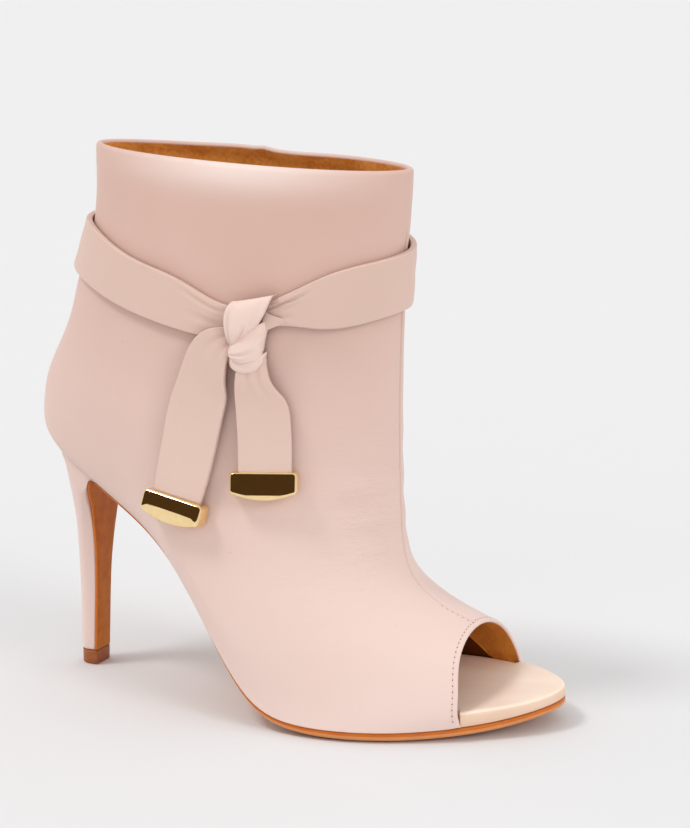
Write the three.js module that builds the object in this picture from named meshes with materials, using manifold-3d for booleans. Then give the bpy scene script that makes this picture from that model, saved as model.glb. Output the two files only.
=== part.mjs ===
// Peep toe ankle boot for the right foot: a soft leather boot on a slim high heel, with an ankle strap
// that is knotted on the outer side and ends in two metal tips.
// Millimetres. +X runs from heel to toe, +Y to the inner side of the foot, +Z up.
// The origin is the middle of the heel tip's foot, on the floor.
import * as THREE from 'three';
import { mergeVertices } from 'three/addons/utils/BufferGeometryUtils.js';
import Module from 'manifold-3d';

const wasm = await Module();
wasm.setup();

// Sizes of the last
const SOLE_LENGTH = 198;
const HEEL_SET = 10.3;
const SEAT_HEIGHT = 86;
const TOE_SPRING = 6;
const BALL_WIDTH = 78;
const BOOT_HEIGHT = 199;
const COLLAR_DIP = 3;
const COLLAR_WIDTH = 46;
// Walls, sole and clearances
const WALL = 2.4;
const COLLAR_ROLL = 0.9;
const SEAM_RAISE = 0.6;
const GAP = 0.3;
const SOLE_THICKNESS = 4;
const SOLE_INSET = 0.5;
const SOLE_BEVEL = 5;
const INSOLE_THICKNESS = 5.4;
const INSOLE_TOE_THICKNESS = 4;
const INSOLE_ROUND = 1;
const TOE_OPENING = 23.7;
const TOE_OPENING_LEAN = 0.19;
// Heel
const TIP_LENGTH = 8;
const TIP_WIDTH = 9.9;
const TIP_HEIGHT = 5.5;
const BREAST_SET = 11;
const SEAT_WIDTH = 38;
const FLAP_THICKNESS = 1.6;
// Ankle strap
const STRAP_THICKNESS = 2.4;
const TAIL_LIFT = 1.8;
const KNOT_LENGTH = 20;
const METAL_LENGTH = 24;
const METAL_HEIGHT = 10;
const METAL_THICKNESS = 5.4;
const METAL_GRIP = 2;
const METAL_BOW = 2;
const METAL_BEVEL = 0.9;

// How far a cut runs on past the wall that it opens
const CUT_THROUGH = 12;

// Steps round the boot, half round a heel section and round and up a lobe of the knot
const COLUMNS = 56;
const HEEL_STEPS = 14;
const LOBE_COLUMNS = 20;
const LOBE_ROWS = 12;
// Smallest step between two heel sections
const LEAST_RISE = 1;
// Step for slopes, as a share of the height and in radians, and rounds of a search that closes in
const SLOPE_STEP = 1e-3;
const SEARCH_ROUNDS = 40;

// Levels of the mesh, between feather line (0) and collar (1)
const LEVELS = [0, 0.02, 0.05, 0.08, 0.12, 0.16, 0.2, 0.25, 0.3, 0.36, 0.42, 0.48, 0.54, 0.6,
  0.67, 0.74, 0.8, 0.87, 0.94, 0.985, 1];

// Side view of the feather line, where the upper meets the sole. along: share of the sole's length
// from the back. arch: share of the seat's height over the tread. spring: share of the toe spring.
// thick: share of the sole's thickness. upright: share of that thickness over the sole's bevel.
const FEATHER_LINE = [
  { along: 0.0, arch: 1.0, spring: 0, thick: 0.55, upright: 0.35 },
  { along: 0.072, arch: 0.929, spring: 0, thick: 0.55, upright: 0.35 },
  { along: 0.168, arch: 0.803, spring: 0, thick: 0.55, upright: 0.35 },
  { along: 0.284, arch: 0.627, spring: 0, thick: 0.55, upright: 0.35 },
  { along: 0.395, arch: 0.341, spring: 0, thick: 0.55, upright: 0.38 },
  { along: 0.496, arch: 0.08, spring: 0, thick: 0.7, upright: 0.48 },
  { along: 0.587, arch: 0.009, spring: 0, thick: 0.95, upright: 0.58 },
  { along: 0.673, arch: 0, spring: 0.01, thick: 1, upright: 0.6 },
  { along: 0.759, arch: 0, spring: 0, thick: 1, upright: 0.6 },
  { along: 0.85, arch: 0, spring: 0.15, thick: 1, upright: 0.6 },
  { along: 0.935, arch: 0, spring: 0.52, thick: 0.95, upright: 0.6 },
  { along: 1.0, arch: 0, spring: 1, thick: 0.85, upright: 0.6 },
];

// How far the middle of the foot swings to the inner side, as a share of the ball's width
const CENTRE_LINE = [
  { along: -0.06, shift: -0.006 },
  { along: 0.19, shift: 0 },
  { along: 0.446, shift: -0.108 },
  { along: 0.673, shift: -0.058 },
  { along: 0.85, shift: 0.058 },
  { along: 1.0, shift: 0.099 },
];
// The level where that swing has faded out, and how its fading bends
const CENTRE_FADE = 0.75;
const CENTRE_FADE_BEND = 1.5;

// Closed rings round the boot, from the feather line to the collar. front and back: where the ring
// starts and ends, in sole lengths from the sole's back. frontRise and backRise: how far each end has
// climbed towards the collar. straight: 0 follows the arch of the sole, 1 is a flat ring.
// heel, rear, waist, ball and toe: half widths at WIDTH_STATIONS along the ring, as shares of a width
// that passes from the ball's to the collar's as the ring straightens.
const RINGS = [
  { level: 0.0, front: 1.0, frontRise: 0.0, back: 0.0, backRise: 0.0, straight: 0.0,
    heel: 0.538, rear: 0.337, waist: 0.4, ball: 0.542, toe: 0.494 },
  { level: 0.05, front: 1.006, frontRise: 0.029, back: -0.025, backRise: 0.062, straight: 0.02,
    heel: 0.556, rear: 0.394, waist: 0.42, ball: 0.543, toe: 0.517 },
  { level: 0.12, front: 0.964, frontRise: 0.078, back: -0.03, backRise: 0.144, straight: 0.1,
    heel: 0.555, rear: 0.455, waist: 0.461, ball: 0.541, toe: 0.548 },
  { level: 0.25, front: 0.865, frontRise: 0.128, back: -0.016, backRise: 0.259, straight: 0.3,
    heel: 0.592, rear: 0.519, waist: 0.519, ball: 0.567, toe: 0.576 },
  { level: 0.42, front: 0.7385, frontRise: 0.198, back: 0.027, backRise: 0.423, straight: 0.6,
    heel: 0.616, rear: 0.595, waist: 0.592, ball: 0.612, toe: 0.622 },
  { level: 0.6, front: 0.698, frontRise: 0.343, back: 0.054, backRise: 0.597, straight: 0.85,
    heel: 0.634, rear: 0.626, waist: 0.614, ball: 0.608, toe: 0.587 },
  { level: 0.8, front: 0.695, frontRise: 0.665, back: 0.085, backRise: 0.787, straight: 1.0,
    heel: 0.58, rear: 0.587, waist: 0.587, ball: 0.596, toe: 0.596 },
  { level: 1.0, front: 0.715, frontRise: 1.0, back: 0.085, backRise: 1.0, straight: 1.0,
    heel: 0.493, rear: 0.496, waist: 0.496, ball: 0.517, toe: 0.539 },
];
const WIDTH_STATIONS = { heel: 0, rear: 0.22, waist: 0.45, ball: 0.72, toe: 1 };

// Heel sections. rise: share of the seat's height. back, breast and half: how far each has passed from
// the tip's size (0) to the seat's (1). taper: 0 is a round back with straight sides, 1 is a section
// that narrows all the way from the breast.
const HEEL_SECTIONS = [
  { rise: 0.0, back: 0.0, breast: 0.0, half: 0.0, taper: 0 },
  { rise: 0.233, back: 0.045, breast: 0.11, half: 0.0, taper: 0 },
  { rise: 0.349, back: 0.05, breast: 0.17, half: 0.0, taper: 0 },
  { rise: 0.465, back: 0.095, breast: 0.22, half: 0.036, taper: 0 },
  { rise: 0.547, back: 0.105, breast: 0.28, half: 0.1, taper: 0 },
  { rise: 0.605, back: 0.13, breast: 0.31, half: 0.157, taper: 0.05 },
  { rise: 0.663, back: 0.2, breast: 0.35, half: 0.25, taper: 0.2 },
  { rise: 0.709, back: 0.29, breast: 0.38, half: 0.35, taper: 0.4 },
  { rise: 0.756, back: 0.365, breast: 0.44, half: 0.52, taper: 0.6 },
  { rise: 0.814, back: 0.475, breast: 0.61, half: 0.795, taper: 0.85 },
  { rise: 0.86, back: 0.53, breast: 0.86, half: 1.0, taper: 0.85 },
  { rise: 0.93, back: 0.72, breast: 1.0, half: 1.0, taper: 0.6 },
  { rise: 0.977, back: 0.88, breast: 1.0, half: 1.0, taper: 0.3 },
  { rise: 1.02, back: 1.0, breast: 1.0, half: 1.0, taper: 0 },
];
// Share of a heel section's length that its straight sides take, from the breast
const HEEL_STRAIGHT = 0.36;

// Lower and upper edge of the ankle strap, as shares of the boot's height. turn: degrees round the
// boot, from the front over the outer side. It is gathered under the knot.
const STRAP_EDGES = [
  { turn: 0, low: 0.742, high: 0.846 },
  { turn: 25, low: 0.727, high: 0.831 },
  { turn: 50, low: 0.713, high: 0.803 },
  { turn: 67, low: 0.714, high: 0.762 },
  { turn: 83, low: 0.69, high: 0.746 },
  { turn: 100, low: 0.696, high: 0.78 },
  { turn: 120, low: 0.719, high: 0.808 },
  { turn: 150, low: 0.758, high: 0.85 },
  { turn: 180, low: 0.776, high: 0.866 },
  { turn: 225, low: 0.783, high: 0.88 },
  { turn: 270, low: 0.786, high: 0.884 },
  { turn: 315, low: 0.77, high: 0.868 },
  { turn: 360, low: 0.742, high: 0.846 },
];
// Share of the strap's thickness that its rounded edges take up, at each edge
const STRAP_ROUND = 0.333;

// The knot's two lobes. along: shares of the sole's length from its back. up: shares of the boot's
// height. long, high and deep: shares of the knot's length. lean: degrees.
const KNOT_LOBES = [
  { along: 0.46, up: 0.722, long: 1.05, high: 0.92, deep: 0.8, lean: 28 },
  { along: 0.455, up: 0.655, long: 0.86, high: 0.62, deep: 0.66, lean: 14 },
];

// The strap's two tails, from the knot down to their metal tips: the edges of each section, along in
// sole lengths from the sole's back and up in boot heights.
const TAILS = {
  rear: [
    { backAlong: 0.37, backUp: 0.687, frontAlong: 0.424, frontUp: 0.684 },
    { backAlong: 0.343, backUp: 0.63, frontAlong: 0.424, frontUp: 0.62 },
    { backAlong: 0.325, backUp: 0.56, frontAlong: 0.421, frontUp: 0.555 },
    { backAlong: 0.312, backUp: 0.48, frontAlong: 0.407, frontUp: 0.47 },
    { backAlong: 0.3, backUp: 0.403, frontAlong: 0.394, frontUp: 0.383 },
  ],
  front: [
    { backAlong: 0.452, backUp: 0.632, frontAlong: 0.495, frontUp: 0.636 },
    { backAlong: 0.452, backUp: 0.58, frontAlong: 0.526, frontUp: 0.584 },
    { backAlong: 0.452, backUp: 0.53, frontAlong: 0.54, frontUp: 0.53 },
    { backAlong: 0.456, backUp: 0.446, frontAlong: 0.549, frontUp: 0.45 },
  ],
};

// Natural cubic spline through the rows of a table, straight beyond its ends
function curveThrough(rows, across, column) {
  const xs = rows.map((row) => row[across]);
  const ys = rows.map((row) => row[column]);
  const last = xs.length - 1;
  const bend = new Array(last + 1).fill(0);
  const upper = new Array(last + 1).fill(0);
  for (let i = 1; i < last; i += 1) {
    const before = xs[i] - xs[i - 1];
    const after = xs[i + 1] - xs[i];
    const turnRate = 6 * ((ys[i + 1] - ys[i]) / after - (ys[i] - ys[i - 1]) / before);
    const pivot = 2 * (before + after) - before * upper[i - 1];
    upper[i] = after / pivot;
    bend[i] = (turnRate - before * bend[i - 1]) / pivot;
  }
  for (let i = last - 1; i > 0; i -= 1) {
    bend[i] -= upper[i] * bend[i + 1];
  }
  return (x) => {
    let i = 0;
    while (i < last - 1 && x > xs[i + 1]) {
      i += 1;
    }
    const span = xs[i + 1] - xs[i];
    const rise = (ys[i + 1] - ys[i]) / span;
    const t = x - xs[i];
    if (t < 0) {
      return ys[i] + t * (rise - (span * (2 * bend[i] + bend[i + 1])) / 6);
    }
    if (t > span) {
      return ys[i + 1] + (t - span) * (rise + (span * (bend[i] + 2 * bend[i + 1])) / 6);
    }
    const slope = rise - (span * (2 * bend[i] + bend[i + 1])) / 6;
    return ys[i] + t * (slope + t * (bend[i] / 2 + (t * (bend[i + 1] - bend[i])) / (6 * span)));
  };
}

// Straight lines through the rows of a table
function lineThrough(rows, across, column) {
  return (x) => {
    let i = 0;
    while (i < rows.length - 2 && x > rows[i + 1][across]) {
      i += 1;
    }
    const t = THREE.MathUtils.clamp((x - rows[i][across]) / (rows[i + 1][across] - rows[i][across]), 0, 1);
    return THREE.MathUtils.lerp(rows[i][column], rows[i + 1][column], t);
  };
}

const soleBack = -HEEL_SET;
const soleX = (along) => soleBack + along * SOLE_LENGTH;
const soleAlong = (x) => (x - soleBack) / SOLE_LENGTH;

const archCurve = curveThrough(FEATHER_LINE, 'along', 'arch');
const springCurve = curveThrough(FEATHER_LINE, 'along', 'spring');
const thickLine = lineThrough(FEATHER_LINE, 'along', 'thick');
const uprightLine = lineThrough(FEATHER_LINE, 'along', 'upright');
const centreCurve = curveThrough(CENTRE_LINE, 'along', 'shift');
const ringCurves = {};
for (const column of Object.keys(RINGS[0]).filter((name) => name !== 'level')) {
  ringCurves[column] = curveThrough(RINGS, 'level', column);
}

// Height of the feather line, where the upper's bottom edge lies
function featherHeight(x) {
  const along = soleAlong(x);
  const arch = archCurve(along) * (SEAT_HEIGHT - SOLE_THICKNESS);
  return SOLE_THICKNESS + arch + springCurve(along) * TOE_SPRING;
}

// Half width of a ring at share s of its length, through the five stations
function halfWidth(level, s) {
  const names = Object.keys(WIDTH_STATIONS);
  let sum = 0;
  for (const name of names) {
    let weight = 1;
    for (const other of names) {
      if (other !== name) {
        weight *= (s - WIDTH_STATIONS[other]) / (WIDTH_STATIONS[name] - WIDTH_STATIONS[other]);
      }
    }
    sum += weight * ringCurves[name](level);
  }
  const straight = THREE.MathUtils.clamp(ringCurves.straight(level), 0, 1);
  return sum * THREE.MathUtils.lerp(BALL_WIDTH, COLLAR_WIDTH, straight);
}

// A point of the boot's outer form. turn: radians from the front over the outer side.
function formPoint(level, turn) {
  const s = (1 + Math.cos(turn)) / 2;
  const back = soleX(ringCurves.back(level));
  const front = soleX(ringCurves.front(level));
  const x = THREE.MathUtils.lerp(back, front, s);
  const fade = THREE.MathUtils.clamp(1 - level / CENTRE_FADE, 0, 1) ** CENTRE_FADE_BEND;
  const y = centreCurve(soleAlong(x)) * BALL_WIDTH * fade - halfWidth(level, s) * Math.sin(turn);
  const toeHeight = featherHeight(soleX(1));
  const seatHeight = featherHeight(soleBack);
  const frontZ = THREE.MathUtils.lerp(toeHeight, BOOT_HEIGHT - COLLAR_DIP, ringCurves.frontRise(level));
  const backZ = THREE.MathUtils.lerp(seatHeight, BOOT_HEIGHT, ringCurves.backRise(level));
  const arched = (featherHeight(soleX(s)) - seatHeight) / (toeHeight - seatHeight);
  const straight = THREE.MathUtils.clamp(ringCurves.straight(level), 0, 1);
  const z = THREE.MathUtils.lerp(backZ, frontZ, THREE.MathUtils.lerp(arched, s, straight));
  return new THREE.Vector3(x, y, z);
}

// Outward direction of the form, from its slopes
function formNormal(level, turn) {
  const low = Math.max(level - SLOPE_STEP, 0);
  const high = Math.min(level + SLOPE_STEP, 1);
  const up = formPoint(high, turn).sub(formPoint(low, turn));
  const round = formPoint(level, turn + SLOPE_STEP).sub(formPoint(level, turn - SLOPE_STEP));
  return up.cross(round).normalize();
}

// A point at a distance outside the form, or inside where the distance is negative
function offsetPoint(level, turn, distance) {
  return formPoint(level, turn).addScaledVector(formNormal(level, turn), distance);
}

// Level of the ring that passes a height, at a turn
function levelAt(turn, height) {
  let low = 0;
  let high = 1;
  for (let i = 0; i < SEARCH_ROUNDS; i += 1) {
    const middle = (low + high) / 2;
    if (formPoint(middle, turn).z < height) {
      low = middle;
    } else {
      high = middle;
    }
  }
  return (low + high) / 2;
}

// A point over the boot's outer side, from its place in side view and its distance to the form
function outerSidePoint(x, height, distance) {
  let turn = Math.PI / 2;
  for (let i = 0; i < SEARCH_ROUNDS; i += 1) {
    const level = levelAt(turn, height);
    const back = soleX(ringCurves.back(level));
    const front = soleX(ringCurves.front(level));
    turn = Math.acos(THREE.MathUtils.clamp((2 * (x - back)) / (front - back) - 1, -1, 1));
  }
  return offsetPoint(levelAt(turn, height), turn, distance);
}

// A closed mesh through rings of points, each ring closed. Ends are capped with strips across, or the
// last ring joins the first.
function loft(rings, joined = false) {
  const count = rings[0].length;
  const positions = rings.flat().flatMap((point) => point.toArray());
  const triangles = [];
  const steps = joined ? rings.length : rings.length - 1;
  for (let r = 0; r < steps; r += 1) {
    const here = r * count;
    const next = ((r + 1) % rings.length) * count;
    for (let i = 0; i < count; i += 1) {
      const j = (i + 1) % count;
      triangles.push([here + i, here + j, next + j], [here + i, next + j, next + i]);
    }
  }
  if (!joined) {
    const top = (rings.length - 1) * count;
    for (let i = 0; i < count / 2; i += 1) {
      const corners = [i, i + 1, (count - i - 1) % count, (count - i) % count];
      const halves = [[corners[0], corners[2], corners[1]], [corners[0], corners[3], corners[2]]];
      for (const half of halves.filter((corner) => new Set(corner).size === 3)) {
        triangles.push(half);
        triangles.push([top + half[0], top + half[2], top + half[1]]);
      }
    }
  }
  return facedOut(positions, triangles);
}

// A geometry from points and triangles, turned inside out where its volume is negative
function facedOut(positions, triangles) {
  const corner = (i) => new THREE.Vector3().fromArray(positions, 3 * i);
  let volume = 0;
  for (const [a, b, c] of triangles) {
    volume += corner(a).dot(corner(b).cross(corner(c)));
  }
  const faces = volume < 0 ? triangles.map(([a, b, c]) => [a, c, b]) : triangles;
  const geometry = new THREE.BufferGeometry();
  geometry.setAttribute('position', new THREE.Float32BufferAttribute(positions, 3));
  geometry.setIndex(faces.flat());
  return geometry;
}

// Closed geometry to solid, and back
function solidOf(geometry) {
  const bare = geometry.clone();
  bare.deleteAttribute('normal');
  bare.deleteAttribute('uv');
  const merged = mergeVertices(bare, 1e-4);
  return new wasm.Manifold(new wasm.Mesh({
    numProp: 3,
    vertProperties: new Float32Array(merged.attributes.position.array),
    triVerts: new Uint32Array(merged.index.array),
  }));
}

function geometryOf(solid) {
  const mesh = solid.getMesh();
  const geometry = new THREE.BufferGeometry();
  geometry.setAttribute('position', new THREE.Float32BufferAttribute(mesh.vertProperties, 3));
  geometry.setIndex(Array.from(mesh.triVerts));
  return geometry;
}

const turns = Array.from({ length: COLUMNS }, (_, i) => (2 * Math.PI * i) / COLUMNS);

// How far the front seam stands out at a turn
const seamRise = (turn) => (turn === 0 ? SEAM_RAISE : 0);

// The whole form as a solid, grown or shrunk by a distance and made longer below and above. roll: how
// much the edge of the collar turns in. seamed: with the raised front seam.
function formSolid({ distance = 0, below = 0, above = 0, roll = 0, seamed = true }) {
  const rings = LEVELS.map((level, i) => turns.map((turn) => {
    const raised = seamed ? seamRise(turn) : 0;
    const turnedIn = i === LEVELS.length - 1 ? roll : 0;
    return offsetPoint(level, turn, distance + raised - turnedIn);
  }));
  if (below > 0) {
    rings.unshift(rings[0].map((point) => point.clone().setZ(point.z - below)));
  }
  if (above > 0) {
    rings.push(rings[rings.length - 1].map((point) => point.clone().setZ(point.z + above)));
  }
  return solidOf(loft(rings));
}

// The outline of the bottom in plan, pulled in by an inset
function bottomOutline(inset) {
  return turns.map((turn) => {
    const point = formPoint(0, turn);
    const along = formPoint(0, turn + SLOPE_STEP).sub(formPoint(0, turn - SLOPE_STEP));
    const inward = new THREE.Vector3(along.y, -along.x, 0).normalize();
    return point.addScaledVector(inward, inset);
  });
}

// A solid on the bottom's outline, whose rings each have an inset and a height worked out from x
function bottomSolid(layers) {
  return solidOf(loft(layers.map(({ inset, height }) => bottomOutline(inset)
    .map((point) => point.setZ(height(point.x))))));
}

// Everything in front of the peep toe's edge, moved forward by a clearance. The edge leans back. It
// ends under the instep, well above the opening.
function toeRegion(clearance) {
  const below = SOLE_THICKNESS;
  const above = SEAT_HEIGHT;
  const edge = soleX(1) - TOE_OPENING + clearance;
  const ring = (y) => [
    new THREE.Vector3(edge + TOE_OPENING_LEAN * below, y, -below),
    new THREE.Vector3(edge + SOLE_LENGTH, y, -below),
    new THREE.Vector3(edge + SOLE_LENGTH, y, above),
    new THREE.Vector3(edge - TOE_OPENING_LEAN * above, y, above),
  ];
  return solidOf(loft([ring(-BALL_WIDTH), ring(BALL_WIDTH)]));
}

// Everything above the top of the sole
function aboveSole() {
  return bottomSolid([
    { inset: -SOLE_BEVEL, height: (x) => featherHeight(x) - GAP },
    { inset: -SOLE_BEVEL, height: () => BOOT_HEIGHT },
  ]);
}

// The upper: one hollow wall, open at the collar, underneath and at the toe
function makeUpper() {
  const outer = formSolid({ roll: COLLAR_ROLL });
  const hollow = formSolid({ distance: -WALL, below: CUT_THROUGH, above: CUT_THROUGH,
    roll: -COLLAR_ROLL, seamed: false });
  return outer.subtract(hollow).subtract(toeRegion(0));
}

// The insole lies inside the upper's wall, takes the whole width where the toe is open,
// and grows thinner to its front end
function makeInsole() {
  const thickness = (x) => {
    const share = THREE.MathUtils.clamp((soleX(1) - x) / TOE_OPENING, 0, 1);
    return THREE.MathUtils.lerp(INSOLE_TOE_THICKNESS, INSOLE_THICKNESS, share);
  };
  const plate = bottomSolid([
    { inset: SOLE_INSET, height: featherHeight },
    { inset: SOLE_INSET, height: (x) => featherHeight(x) + thickness(x) - INSOLE_ROUND },
    { inset: SOLE_INSET + INSOLE_ROUND, height: (x) => featherHeight(x) + thickness(x) },
  ]);
  const inside = formSolid({ distance: -WALL - GAP, below: CUT_THROUGH, seamed: false });
  return plate.intersect(inside).add(plate.intersect(toeRegion(GAP)));
}

// Sizes of the heel at a height
const heelCurves = {};
for (const column of ['back', 'breast', 'half', 'taper']) {
  heelCurves[column] = lineThrough(HEEL_SECTIONS, 'rise', column);
}
function heelSizes(height) {
  const rise = height / SEAT_HEIGHT;
  return {
    back: THREE.MathUtils.lerp(-TIP_LENGTH / 2, soleBack, heelCurves.back(rise)),
    breast: THREE.MathUtils.lerp(TIP_LENGTH / 2, BREAST_SET, heelCurves.breast(rise)),
    half: THREE.MathUtils.lerp(TIP_WIDTH / 2, SEAT_WIDTH / 2, heelCurves.half(rise)),
    taper: heelCurves.taper(rise),
  };
}

// Heights of the heel's sections, from a lowest one up
function heelHeights(lowest) {
  const higher = HEEL_SECTIONS.map((row) => row.rise * SEAT_HEIGHT)
    .filter((height) => height > lowest + LEAST_RISE);
  return [lowest, ...higher];
}

// A heel section: flat at the breast, round or tapered at the back
function heelRing(height, cutBack) {
  const { back, breast, half, taper } = heelSizes(height);
  const front = breast - cutBack;
  const middle = front - (breast - back) * HEEL_STRAIGHT;
  const points = [new THREE.Vector3(front, 0, height), new THREE.Vector3(front, half, height)];
  for (let i = 0; i <= HEEL_STEPS; i += 1) {
    const angle = Math.PI / 2 + (Math.PI * i) / HEEL_STEPS;
    const rounded = middle + (middle - back) * Math.cos(angle);
    const tapered = back + (front - back) * Math.sin(angle) ** 2;
    const x = THREE.MathUtils.lerp(rounded, tapered, taper);
    points.push(new THREE.Vector3(x, half * Math.sin(angle), height));
  }
  points.push(new THREE.Vector3(front, -half, height));
  return points;
}

function makeHeelTip() {
  return solidOf(loft([heelRing(0, 0), heelRing(TIP_HEIGHT, 0)]));
}

// Inside the bottom's outline, from the floor to over the seat
function insideOutline() {
  return bottomSolid([
    { inset: SOLE_INSET, height: () => 0 },
    { inset: SOLE_INSET, height: () => BOOT_HEIGHT },
  ]);
}

function makeHeel() {
  const heights = heelHeights(TIP_HEIGHT + GAP);
  const column = solidOf(loft(heights.map((height) => heelRing(height, FLAP_THICKNESS + GAP))));
  return column.intersect(insideOutline()).subtract(aboveSole());
}

// The outsole: a plate under the upper with a bevelled edge, flat under the ball, and a flap that runs
// down the breast of the heel to its tip
function makeOutsole() {
  const top = (x) => featherHeight(x) - GAP;
  const thickness = (x) => SOLE_THICKNESS * thickLine(soleAlong(x));
  const plate = bottomSolid([
    { inset: SOLE_INSET + SOLE_BEVEL, height: (x) => Math.max(0, top(x) - thickness(x)) },
    { inset: SOLE_INSET, height: (x) => top(x) - uprightLine(soleAlong(x)) * thickness(x) },
    { inset: SOLE_INSET, height: top },
  ]);
  const flapBack = BREAST_SET - FLAP_THICKNESS;
  const behind = solidOf(new THREE.BoxGeometry(SOLE_LENGTH, 2 * BALL_WIDTH, 2 * BOOT_HEIGHT)
    .translate(flapBack - SOLE_LENGTH / 2, 0, 0));
  const flap = solidOf(loft(heelHeights(TIP_HEIGHT + GAP).map((height) => {
    const { breast, half } = heelSizes(height);
    return [
      new THREE.Vector3(breast, -half, height),
      new THREE.Vector3(breast, half, height),
      new THREE.Vector3(breast - FLAP_THICKNESS, half, height),
      new THREE.Vector3(breast - FLAP_THICKNESS, -half, height),
    ];
  })));
  return plate.subtract(behind).add(flap.intersect(insideOutline()).subtract(aboveSole()));
}

const strapLow = curveThrough(STRAP_EDGES, 'turn', 'low');
const strapHigh = curveThrough(STRAP_EDGES, 'turn', 'high');

// The band of the ankle strap, grown by a clearance: a section at each turn, rounded at its edges
function bandSolid(clearance) {
  const inner = GAP - clearance;
  const outer = GAP + STRAP_THICKNESS + clearance;
  const soft = STRAP_THICKNESS * STRAP_ROUND;
  return solidOf(loft(turns.map((turn) => {
    const degrees = THREE.MathUtils.radToDeg(turn);
    const low = strapLow(degrees) * BOOT_HEIGHT - clearance;
    const high = strapHigh(degrees) * BOOT_HEIGHT + clearance;
    const corner = (height, distance) => offsetPoint(levelAt(turn, height), turn,
      distance + seamRise(turn));
    return [
      corner(low + soft, inner),
      corner((low + high) / 2, inner),
      corner(high - soft, inner),
      corner(high, (inner + outer) / 2),
      corner(high - soft, outer),
      corner((low + high) / 2, outer),
      corner(low + soft, outer),
      corner(low, (inner + outer) / 2),
    ];
  }), true));
}

// The knot's lobes, grown by a clearance, before they are fitted to the band
function knotLobes(clearance) {
  const lobes = KNOT_LOBES.map(({ along, up, long, high, deep, lean }) => {
    const middle = outerSidePoint(soleX(along), up * BOOT_HEIGHT, GAP + STRAP_THICKNESS);
    const half = (share) => (share * KNOT_LENGTH) / 2 + clearance;
    const ball = new THREE.SphereGeometry(1, LOBE_COLUMNS, LOBE_ROWS)
      .scale(half(long), half(deep), half(high))
      .rotateY(THREE.MathUtils.degToRad(-lean))
      .translate(middle.x, middle.y, middle.z);
    return solidOf(ball);
  });
  return lobes[0].add(lobes[1]);
}

function makeKnot() {
  return knotLobes(0).subtract(formSolid({ distance: GAP })).subtract(bandSolid(GAP));
}

// Where a tail ends: the middle of its last row, with directions across, up and out of the leather
function tailEnd(rows) {
  const middleOf = ({ backAlong, frontAlong, backUp, frontUp }) => ({
    along: (backAlong + frontAlong) / 2,
    up: (backUp + frontUp) / 2,
  });
  const lift = GAP + TAIL_LIFT + STRAP_THICKNESS / 2;
  const place = ({ along, up }) => outerSidePoint(soleX(along), up * BOOT_HEIGHT, lift);
  const end = rows[rows.length - 1];
  const centre = place(middleOf(end));
  const above = place(middleOf(rows[rows.length - 2]));
  const back = place({ along: end.backAlong, up: end.backUp });
  const front = place({ along: end.frontAlong, up: end.frontUp });
  const across = front.clone().sub(back).normalize();
  const outward = across.clone().cross(above.sub(centre)).normalize();
  const up = outward.clone().cross(across);
  const spot = (a, u, o) => centre.clone()
    .addScaledVector(across, a)
    .addScaledVector(up, u)
    .addScaledVector(outward, o);
  return { spot, half: front.distanceTo(back) / 2 };
}

// A tail: sections across it, between its back and front edges, lying off the upper by its lift. Its
// last two sections are flat, where the metal tip grips it.
function makeTail(rows) {
  const inner = GAP + TAIL_LIFT;
  const outer = inner + STRAP_THICKNESS;
  const { spot, half } = tailEnd(rows);
  const thick = STRAP_THICKNESS / 2;
  const sections = rows.slice(0, -1).map((row) => {
    const across = (share, distance) => outerSidePoint(
      soleX(THREE.MathUtils.lerp(row.backAlong, row.frontAlong, share)),
      THREE.MathUtils.lerp(row.backUp, row.frontUp, share) * BOOT_HEIGHT,
      distance,
    );
    return [across(0, inner), across(0.5, inner), across(1, inner),
      across(1, outer), across(0.5, outer), across(0, outer)];
  });
  for (const u of [2 * METAL_GRIP, 0]) {
    sections.push([spot(-half, u, -thick), spot(0, u, -thick), spot(half, u, -thick),
      spot(half, u, thick), spot(0, u, thick), spot(-half, u, thick)]);
  }
  return solidOf(loft(sections)).subtract(knotLobes(GAP)).subtract(bandSolid(GAP));
}

// A metal tip that grips the end of a tail: straight above, curved below, with a slot for the leather
function makeMetalTip(rows) {
  const { spot, half: leatherHalf } = tailEnd(rows);
  const half = METAL_LENGTH / 2;
  const foot = METAL_GRIP - METAL_HEIGHT;
  const middle = METAL_GRIP - METAL_HEIGHT / 2;
  const bowed = (share) => [half * share, foot + METAL_BOW * share ** 2];
  const outline = [[0, METAL_GRIP], [half, METAL_GRIP], bowed(1), bowed(0.6), bowed(0), bowed(-0.6),
    bowed(-1), [-half, METAL_GRIP]];
  const side = (o, shrink) => outline.map(([a, u]) => spot(
    a * (1 - shrink / half),
    middle + (u - middle) * (1 - (2 * shrink) / METAL_HEIGHT),
    o,
  ));
  const deep = METAL_THICKNESS / 2;
  const block = solidOf(loft([side(-deep, METAL_BEVEL), side(METAL_BEVEL - deep, 0),
    side(deep - METAL_BEVEL, 0), side(deep, METAL_BEVEL)]));
  const slotHalf = leatherHalf + GAP;
  const slotDeep = STRAP_THICKNESS / 2 + GAP;
  const slotRing = (o) => [spot(-slotHalf, -GAP, o), spot(slotHalf, -GAP, o),
    spot(slotHalf, 2 * METAL_GRIP, o), spot(-slotHalf, 2 * METAL_GRIP, o)];
  return block.subtract(solidOf(loft([slotRing(-slotDeep), slotRing(slotDeep)])));
}

const leather = { color: 0xd9b6a6, roughness: 0.62, metalness: 0 };
const insoleLeather = { color: 0xeecdb5, roughness: 0.6, metalness: 0 };
const soleLeather = { color: 0xb9763f, roughness: 0.55, metalness: 0 };
const tipRubber = { color: 0x8a5230, roughness: 0.6, metalness: 0 };
const gold = { color: 0xd8b27a, roughness: 0.2, metalness: 1 };

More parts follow.
